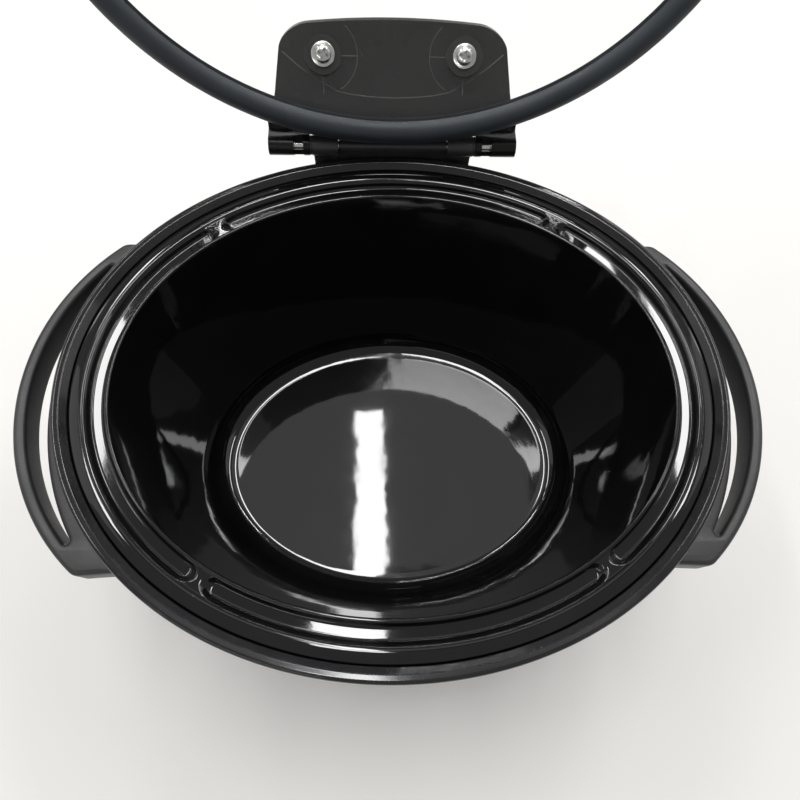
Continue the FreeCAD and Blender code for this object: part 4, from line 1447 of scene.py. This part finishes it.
@dataclass
class Controls:
    """Panel, dial marks, knob, lens and switch, in millimetres, with the marks' angles in degrees."""

    knob_height: float = -125.0
    panel_thickness: float = 3.0
    panel_half: Point2 = (48.0, 40.0)
    panel_corner: float = 12.0
    panel_slices: int = 20
    boss_rise: float = 1.6
    lamp_side: float = 33.0
    mark_count: int = 4
    mark_radius: float = 25.5
    mark_sunk: float = 0.35
    first_mark: float = 157.5
    mark_step: float = -45.0
    flute_count: int = 48
    flute_radius: float = 17.35

    def panel_y(self, x: float, height: float) -> float:
        """Y of the panel's front face at a distance to one side and a height from the rim."""
        reach = Shell().house_outside(height) + 0.05 + self.panel_thickness
        return -(OVAL.half_wide + reach) * math.sqrt(1 - (x / (OVAL.half_long + reach)) ** 2)

    def front(self, x: float, rise: float = 0.0) -> Vector:
        """A point on the panel's front or out from it, at the knob's height, in metres."""
        return Vector((x, self.panel_y(x, self.knob_height) - rise, OVAL.rim + self.knob_height)) * MM

    def lay(self, shape: BMesh, sunk: float) -> None:
        """Lay a flat shape on the panel's curve.

        Args:
            shape: The shape, drawn to the right and upwards from the knob, with its thickness along Z.
            sunk: How far its back lies behind the panel's front, in millimetres.
        """
        for vertex in shape.verts:
            x, up, out = vertex.co
            y = self.panel_y(x / MM, self.knob_height + up / MM) * MM
            vertex.co = (x, y + sunk * MM - out, (OVAL.rim + self.knob_height) * MM + up)
        shape.normal_update()
        face_outwards(shape)

    def panel(self) -> Object:
        """The panel, bent to the housing's curve."""
        outline = oblong(*self.panel_half, self.panel_corner, steps=12)
        piece = slab("front_panel", [outline], self.panel_thickness, 1.2)
        count = self.panel_slices
        with edited(piece.data) as shape:
            for axis, limit in enumerate(self.panel_half):
                sliced(shape, axis, [k / count * limit for k in range(1 - count, count)])
            self.lay(shape, self.panel_thickness)
        return piece

    def marks(self) -> Object:
        """Dial marks that lie on the curved panel."""
        part = slab("mark_part", [oblong(2.2, 0.65, 0.5)], 0.6, 0.1)
        turns = (self.first_mark, self.mark_step)
        piece = ringed("dial_marks", part, Finishes.mark_white, self.mark_count, self.mark_radius, *turns)
        with edited(piece.data) as shape:
            self.lay(shape, self.mark_sunk)
        return piece

    def flutes(self) -> Object:
        """Fine ribs round the knob's skirt."""
        outline = rounded([(-0.9, -0.45, 0.3), (0.35, -0.45, 0.4), (0.35, 0.45, 0.4), (-0.9, 0.45, 0.3)])
        part = slab("flute_part", [outline], 2.6, 0.3)
        turns = (0.0, 360.0 / self.flute_count)
        piece = ringed("knob_flutes", part, Finishes.satin_black, self.flute_count, self.flute_radius, *turns)
        low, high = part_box("control_knob")
        middle = Vector(((low.x + high.x) / 2, high.y - 0.5 * MM, (low.z + high.z) / 2))
        return moved(piece, along(middle, FRONT))

    def lens(self) -> Object:
        """The lamp's lens, where the CAD has it."""
        dome = [(3.35, 10.9), (2.9, 11.4), (2.1, 11.7), (1.1, 11.85), (0.0, 11.9)]
        lens = turned("pilot_lens", [(0.0, 0.0), (3.5, 0.0), (3.5, 10.3)] + dome, 40)
        low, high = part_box("indicator_lens")
        return moved(lens, along(Vector(((low.x + high.x) / 2, high.y, (low.z + high.z) / 2)), FRONT))

    def build(self) -> None:
        """Make and dress the controls."""
        dressed(self.panel(), Finishes.satin_black, Body.BASE, ["control_panel"])
        outline = rounded([(4.9, -6.0), (4.9, 0.0, 0.3), (20.5, 0.0, 0.8), (20.5, -6.0)], closed=False)
        boss = moved(turned("dial_boss", outline, 72), along(self.front(0.0, self.boss_rise), FRONT))
        dressed(boss, Finishes.satin_black, Body.BASE)
        outline = rounded([(3.6, -3.6), (3.6, 1.4, 0.3), (5.4, 1.4, 0.5), (6.8, -3.6)], closed=False)
        bezel = moved(turned("lamp_bezel", outline, 56), along(self.front(self.lamp_side), FRONT))
        dressed(bezel, Finishes.gloss_black, Body.BASE)
        dressed(self.marks(), Finishes.mark_white, Body.BASE)
        knob = cad_copy("control_knob", "dial_knob", 0.5, kept_apart=False)
        dressed(knob, Finishes.satin_black, Body.KNOB, ["control_knob"])
        dressed(self.flutes(), Finishes.satin_black, Body.KNOB)
        dressed(self.lens(), Finishes.lamp_red, Body.BASE, ["indicator_lens"])
        dress_nodes(Finishes.mark_white, "knob_pointer")
        dress_nodes(Finishes.clear_glass, "indicator_lamp")
        dress_nodes(Finishes.switch_plastic, "rotary_switch")
        dress_nodes(Finishes.bright_steel, "switch_shaft", "switch_nut")


@dataclass
class Hinge:
    """Knuckle on the housing and the plate, pin and screws on the lid, in millimetres."""

    screw_side: float = 36.5
    screw_inset: float = 14.0
    screw_grip: float = 11.7
    pin_radius: float = 2.5
    pin_half: float = 69.0
    sleeve_radius: float = 3.2
    sleeve_half: float = 30.6
    washer_radius: float = 5.2
    washer_span: tuple[float, float] = (45.62, 46.88)
    plate_inset: float = 31.0
    plate_half: float = 59.0
    plate_bow: float = 3.6
    plate_slices: int = 12
    bow_start: float = 0.78
    rib_radius: float = 0.26
    rib_ring: float = 9.6
    rib_arc: float = 18.6
    rib_low: tuple[Point2, ...] = (
        (-21.2, 1.6), (-13.3, -5.0), (-3.5, -11.4), (7.5, -17.2), (15.5, -18.8), (25.9, -19.8), (38.4, -20.3),
    )
    round_steps: int = 40

    def screw_places(self) -> list[Place]:
        """Point and direction of the two screws, with the lid open."""
        lid = Lid()
        lean = math.asin((lid.flat - self.screw_inset) / lid.dome_radius)
        places = []
        for side in (1, -1):
            turn = math.acos(side * self.screw_side / (OVAL.half_long - self.screw_inset))
            way = OVAL.outward(turn) * math.sin(lean) + UP * math.cos(lean)
            point = OVAL.spot(turn, -self.screw_inset, lid.inside(-self.screw_inset)) - way * 2.0 * MM
            places.append((OPENED @ point, OPENED.to_3x3() @ way))
        return places

    def bowed_plate(self) -> Object:
        """A copy of the plate whose top edge bows down towards its ends."""
        plate = cad_copy("hinge_plate", "lid_plate", 0.7)
        lid = Lid()
        lean = math.asin((lid.flat - self.plate_inset) / lid.dome_radius)
        rise = OPENED.to_3x3() @ Vector((0.0, -math.cos(lean), math.sin(lean)))
        count = self.plate_slices
        with edited(plate.data) as shape:
            sliced(shape, 0, [k * self.plate_half / count for k in range(1 - count, count)])
            top = max((vertex.co - PIN).dot(rise) for vertex in shape.verts)
            for vertex in shape.verts:
                share = ((vertex.co - PIN).dot(rise) / top - self.bow_start) / (1.0 - self.bow_start)
                side = vertex.co.x / (self.plate_half * MM)
                vertex.co -= rise * (self.plate_bow * MM * min(max(share, 0.0), 1.0) * side * side)
        return plate

    def rib_paths(self) -> list[tuple[list[Point2], bool]]:
        """Lines of the ribs round a screw, in millimetres towards the middle and up, and which ones close."""
        near, far = self.rib_ring, self.rib_arc
        bend = arc((0.0, 0.0), far, -60.0, 49.0, 36)
        ring = arc((0.0, 0.0), near, 0.0, 352.5, 47)
        level = divided((near, 0.0), (far, 0.0), 12) + [(far, 0.0)]
        upright = [(0.0, -x) for x, _ in level]
        low: list[Point2] = []
        for start, end in zip(self.rib_low, self.rib_low[1:]):
            low += divided(start, end, 6)
        low.append(self.rib_low[-1])
        return [(bend, False), (level, False), (upright, False), (ring, True), (low, False)]

    def ribs(self, plate: Object) -> Object:
        """Thin ribs laid on the plate's face behind the glass, coloured lighter than the plate as a painted
        highlight.

        Args:
            plate: The finished plate.

        Returns:
            The ribs as one mesh.
        """
        points = [vertex.co for vertex in plate.data.vertices]
        surface = BVHTree.FromPolygons(points, [face.vertices for face in plate.data.polygons])
        lines: list[Line] = []
        for point, way in self.screw_places():
            level = RIGHT * -math.copysign(1.0, point.x)
            level = (level - way * level.dot(way)).normalized()
            rise = level.cross(way) if point.x < 0 else way.cross(level)
            for path, closed in self.rib_paths():
                starts = [point - way * 20 * MM + (level * x + rise * y) * MM for x, y in path]
                hits = [surface.ray_cast(start, way)[0] for start in starts]
                lines.append(([hit for hit in hits if hit], closed))
        section = arc((0.0, 0.0), self.rib_radius, 0.0, 315.0, 7)
        return carried("plate_ribs", lines, section, Finishes.rib_painted_highlight)

    def ring(self, name: str, radius: float, low: float, high: float, way: Vector) -> Object:
        """A ring round the pin.

        Args:
            name: The object's name.
            radius: Its outer radius in millimetres.
            low: Where it starts along the pin, from the middle.
            high: Where it ends.
            way: Direction along the pin.

        Returns:
            The ring.
        """
        bore = self.pin_radius
        outline = rounded([(bore, low, 0.1), (radius, low, 0.3), (radius, high, 0.3), (bore, high, 0.1)])
        return moved(turned(name, outline + outline[:1], self.round_steps), along(PIN, way))

    def build(self) -> None:
        """Make and dress the hinge."""
        knuckle = cad_copy("hinge_knuckle", "knuckle_block", 0.8)
        dressed(knuckle, Finishes.satin_black, Body.BASE, ["hinge_knuckle"])
        dress_nodes(Finishes.bright_steel, "knuckle_screws")
        plate = self.bowed_plate()
        dressed(plate, Finishes.plate_plastic, Body.LID, ["hinge_plate"])
        dressed(self.ribs(plate), Finishes.rib_painted_highlight, Body.LID)
        radius, half = self.pin_radius, self.pin_half
        corners = [(0.0, -half), (radius, -half, 0.6), (radius, half, 0.6), (0.0, half)]
        pin = turned("pin", rounded(corners, closed=False), self.round_steps)
        moved(pin, along(PIN, RIGHT))
        dressed(pin, Finishes.bright_steel, Body.LID, ["hinge_pin"])
        sleeve = self.ring("pin_sleeve", self.sleeve_radius, -self.sleeve_half, self.sleeve_half, RIGHT)
        dressed(sleeve, Finishes.satin_black, Body.LID)
        ways = (RIGHT, -RIGHT)
        washers = [self.ring("washer_part", self.washer_radius, *self.washer_span, way) for way in ways]
        dressed(joined("pin_washers", washers), Finishes.satin_black, Body.LID)
        screw = washer_screw("plate_screw_part", self.screw_grip)
        screws = repeated("plate_screws", screw, self.screw_places(), Finishes.bright_steel, 0.55)
        dressed(screws, Finishes.bright_steel, Body.LID, ["hinge_plate_screws"])
        dress_nodes(Finishes.bush_rubber, "hinge_bushes")


@dataclass
class Lid:
    """Glass, gasket and handle, made closed and turned open, in millimetres."""

    gasket_reach: float = 17.0
    gasket_radius: float = 6.78
    gasket_lift: float = 7.4
    glass: float = 4.5
    dome_edge: float = 7.5
    dome_slope: float = 38.0
    flat: float = 0.64 * TIGHT
    post: float = 47.0
    handle_forward: float = 20.0
    handle_height: float = 30.85
    handle_depth: float = 18.0
    handle_bar: float = 11.0
    handle_foot: float = 2.0
    screw_grip: float = 18.0

    @property
    def low(self) -> float:
        """Height of the glass edge's underside."""
        return self.gasket_lift - self.glass / 2

    @property
    def dome_radius(self) -> float:
        """Radius of the dome's inner face in section."""
        return (self.flat + self.dome_edge) / math.sin(math.radians(self.dome_slope))

    @property
    def top(self) -> float:
        """Height of the flat top's inner face."""
        return self.low + self.dome_radius * (1 - math.cos(math.radians(self.dome_slope)))

    def inside(self, reach: float) -> float:
        """Height of the glass's inner face at a reach."""
        return self.top - self.dome_radius + math.sqrt(self.dome_radius ** 2 - (reach + self.flat) ** 2)

    def glass_section(self) -> list[Point2]:
        """Section of the glass from the middle of its inner face to the middle of its outer face."""
        centre = (-self.flat, self.top - self.dome_radius)
        inner = arc(centre, self.dome_radius, 90.0, 90.0 - self.dome_slope, 26)
        outer_radius = self.dome_radius + self.glass
        meet = math.degrees(math.asin((self.low + self.glass - centre[1]) / outer_radius))
        outer = arc(centre, outer_radius, meet, 90.0, 26)
        edge = self.gasket_reach - 0.5
        corners = [(edge, self.low, 0.8), (edge, self.low + self.glass, 0.8)]
        rim = rounded([inner[-1], *corners, outer[0]], closed=False)
        return inner[:-1] + rim + outer[1:]

    def gasket_section(self) -> list[Point2]:
        """Section of the gasket, outwards and down from its middle: a ring with a slot for the glass."""
        half = self.glass / 2
        middle = (self.gasket_reach, self.gasket_lift)
        mouth = math.degrees(math.asin(half / self.gasket_radius))
        ring = arc(middle, self.gasket_radius, 180.0 + mouth, 540.0 - mouth, 40)
        deep = self.gasket_reach - 0.4
        upper = [(ring[-1][0] + 0.5, ring[-1][1] - 0.12), (deep, self.gasket_lift + half)]
        lower = [(deep, self.gasket_lift - half), (ring[0][0] + 0.5, ring[0][1] + 0.12)]
        return [(reach - middle[0], middle[1] - height) for reach, height in ring + upper + lower]

    def handle(self) -> Object:
        """Arched handle on the flat top."""
        reach = self.post + self.handle_bar
        gap = self.post - 10.0
        high = self.handle_height
        low = self.handle_foot
        under = high - self.handle_bar
        right = [(reach, high, 14.0), (reach, low, 1.0), (gap, low, 1.0), (gap, under, 8.0)]
        left = [(-x, y, radius) for x, y, radius in reversed(right)]
        outline = rounded(left[2:] + right + left[:2], steps=10)
        piece = slab("lid_grip", [outline], self.handle_depth, 3.2)
        front = -self.handle_forward + self.handle_depth / 2
        level = OVAL.rim + self.top + self.glass
        stand = Matrix.Translation(Vector((0.0, front, level)) * MM) @ Matrix.Rotation(math.pi / 2, 4, "X")
        return moved(piece, OPENED @ stand)

    def build(self) -> None:
        """Make and dress the lid."""
        glass = moved(sweep("glass", self.glass_section(), capped=True, turns=OVAL.turns(280)), OPENED)
        dressed(glass, Finishes.clear_glass, Body.LID, ["lid_glass"])
        path = [OVAL.spot(turn, self.gasket_reach, self.gasket_lift) for turn in OVAL.turns(300)]
        gasket = moved(carried("gasket", [(path, True)], self.gasket_section(), Finishes.soft_rubber), OPENED)
        dressed(gasket, Finishes.soft_rubber, Body.LID, ["lid_gasket"])
        dressed(self.handle(), Finishes.satin_black, Body.LID, ["lid_handle"])
        places = []
        for side in (1, -1):
            point = Vector((side * self.post, -self.handle_forward, OVAL.rim + self.top - 2.0)) * MM
            places.append((OPENED @ point, OPENED.to_3x3() @ UP))
        screw = washer_screw("grip_screw_part", self.screw_grip)
        screws = repeated("grip_screws", screw, places, Finishes.bright_steel, 0.8)
        dressed(screws, Finishes.bright_steel, Body.LID, ["lid_handle_screws"])
        dress_nodes(Finishes.bush_rubber, "lid_handle_bushes")


@dataclass
class InnerWorks:
    """Heater, fuse, gland and wires inside the housing."""

    def build(self) -> None:
        """Dress the pieces inside the housing."""
        gland = cad_copy("cord_gland", "cord_inlet", 0.4, kept_apart=False)
        dressed(gland, Finishes.satin_black, Body.BASE, ["cord_gland"])
        dress_nodes(Finishes.heater_sheet, "heating_band", "fuse_clip")
        dress_nodes(Finishes.bright_steel, "band_clamp", "thermal_fuse")
        dress_nodes(Finishes.wire_cover, "lead_wires")


# Studio


@dataclass
class Lamp:
    """A soft rectangular lamp, with its sizes in metres."""

    name: str
    place: Point3
    aim: Point3
    size: Point2
    power: float

    def build(self) -> None:
        """Hang the lamp and turn it to its aim."""
        light = bpy.data.lights.new(self.name, "AREA")
        light.shape = "RECTANGLE"
        light.size, light.size_y = self.size
        light.energy = self.power
        holder = linked(self.name, light)
        holder.location = self.place
        way = Vector(self.aim) - Vector(self.place)
        holder.rotation_euler = way.to_track_quat("-Z", "Y").to_euler()


@dataclass
class Studio:
    """Pale floor, plain light and the camera."""

    floor_colour: Colour = (0.80, 0.785, 0.765)
    floor_rough: float = 0.6
    floor_half: float = 4.0
    world_strength: float = 0.36
    lens: float = 28.26
    camera_place: Point3 = (-0.0107, -0.1236, 0.4847)
    camera_right: Point3 = (0.9992, -0.0193, 0.0344)
    camera_look: Point3 = (0.039, 0.3593, -0.9324)

    def floor(self) -> None:
        """A wide pale floor."""
        material = bpy.data.materials.new("pale floor")
        material.use_nodes = True
        kit = Tree(material.node_tree)
        shader = material.node_tree.nodes["Principled BSDF"]
        place = kit.add("ShaderNodeTexCoord").outputs["Object"]
        tone = kit.spread(kit.noise(place, 2.0, 3.0), 0.0, 1.0)
        pale = tuple(c * 1.02 for c in self.floor_colour)
        kit.put(shader.inputs["Base Color"], kit.blend(tone, rgba(self.floor_colour), rgba(pale)))
        shader.inputs["Roughness"].default_value = self.floor_rough
        points = [Vector((x * self.floor_half, y * self.floor_half, 0.0)) for x, y in CORNERS]
        floor = mesh_object("floor", points, [[0, 1, 2, 3]])
        floor.data.materials.append(material)

    def world(self) -> None:
        """Even light from all round, white where it is seen directly."""
        world = bpy.data.worlds.new("studio")
        bpy.context.scene.world = world
        world.use_nodes = True
        kit = Tree(world.node_tree)
        back = world.node_tree.nodes["Background"]
        back.inputs["Color"].default_value = (1.0, 0.995, 0.985, 1.0)
        path = kit.add("ShaderNodeLightPath").outputs["Is Camera Ray"]
        kit.put(back.inputs["Strength"], kit.spread(path, self.world_strength, 1.0, 0.0, 1.0))

    def lamps(self) -> list[Lamp]:
        """The lamps: long tubes overhead and soft boxes at the sides."""
        return [
            Lamp("tube", (-0.033, 0.395, 1.89), (-0.033, 0.395, 0.0), (0.11, 0.64), 5.0),
            Lamp("left tube", (-0.96, 0.75, 1.89), (-0.96, 0.75, 0.0), (0.14, 1.3), 11.0),
            Lamp("right tube", (1.06, 0.75, 1.89), (1.06, 0.75, 0.0), (0.14, 1.1), 9.5),
            Lamp("back left tube", (-0.4, 1.39, 1.89), (-0.4, 1.39, 0.0), (0.5, 0.2), 6.5),
            Lamp("back right tube", (0.64, 1.28, 1.89), (0.64, 1.28, 0.0), (0.5, 0.28), 8.5),
            Lamp("front tube", (-0.09, -0.07, 1.89), (-0.09, -0.07, 0.0), (0.24, 0.3), 5.0),
            Lamp("ceiling", (0.03, 0.5, 1.95), (0.03, 0.5, 0.0), (1.1, 0.75), 1.5),
            Lamp("low front tube", (-0.9, -1.3, 1.1), (0.0, 0.0, 0.15), (1.2, 0.08), 3.0),
            Lamp("low back tube", (0.1, 2.4, 1.5), (0.0, 0.0, 0.15), (1.6, 0.08), 4.0),
            Lamp("left box", (-1.6, 0.3, 1.2), (0.0, 0.0, 0.15), (0.9, 1.6), 3.0),
            Lamp("right box", (1.7, 0.5, 1.1), (0.0, 0.0, 0.15), (0.9, 1.6), 3.0),
        ]

    def camera(self) -> None:
        """The camera at the photograph's angle."""
        look = Vector(self.camera_look).normalized()
        right = Vector(self.camera_right)
        right = (right - look * right.dot(look)).normalized()
        up = right.cross(look)
        data = bpy.data.cameras.new("camera")
        data.lens = self.lens
        data.sensor_width = 36.0
        data.clip_start = 0.01
        holder = linked("camera", data)
        turn = Matrix((right, up, -look)).transposed().to_4x4()
        holder.matrix_world = Matrix.Translation(self.camera_place) @ turn
        bpy.context.scene.camera = holder

    def build(self) -> None:
        """Set up floor, light, colour handling and camera."""
        self.floor()
        self.world()
        for lamp in self.lamps():
            lamp.build()
        self.camera()
        bpy.context.scene.view_settings.view_transform = "Standard"


def main() -> None:
    """Build every sub-assembly in order."""
    logging.basicConfig(level=logging.INFO, format="%(name)s: %(message)s")
    for part in (Crock(), Shell(), Underside(), Handles(), Controls(), InnerWorks(), Hinge(), Lid()):
        log.info("building %s", type(part).__name__)
        part.build()
    Studio().build()


if __name__ == "__main__":
    main()
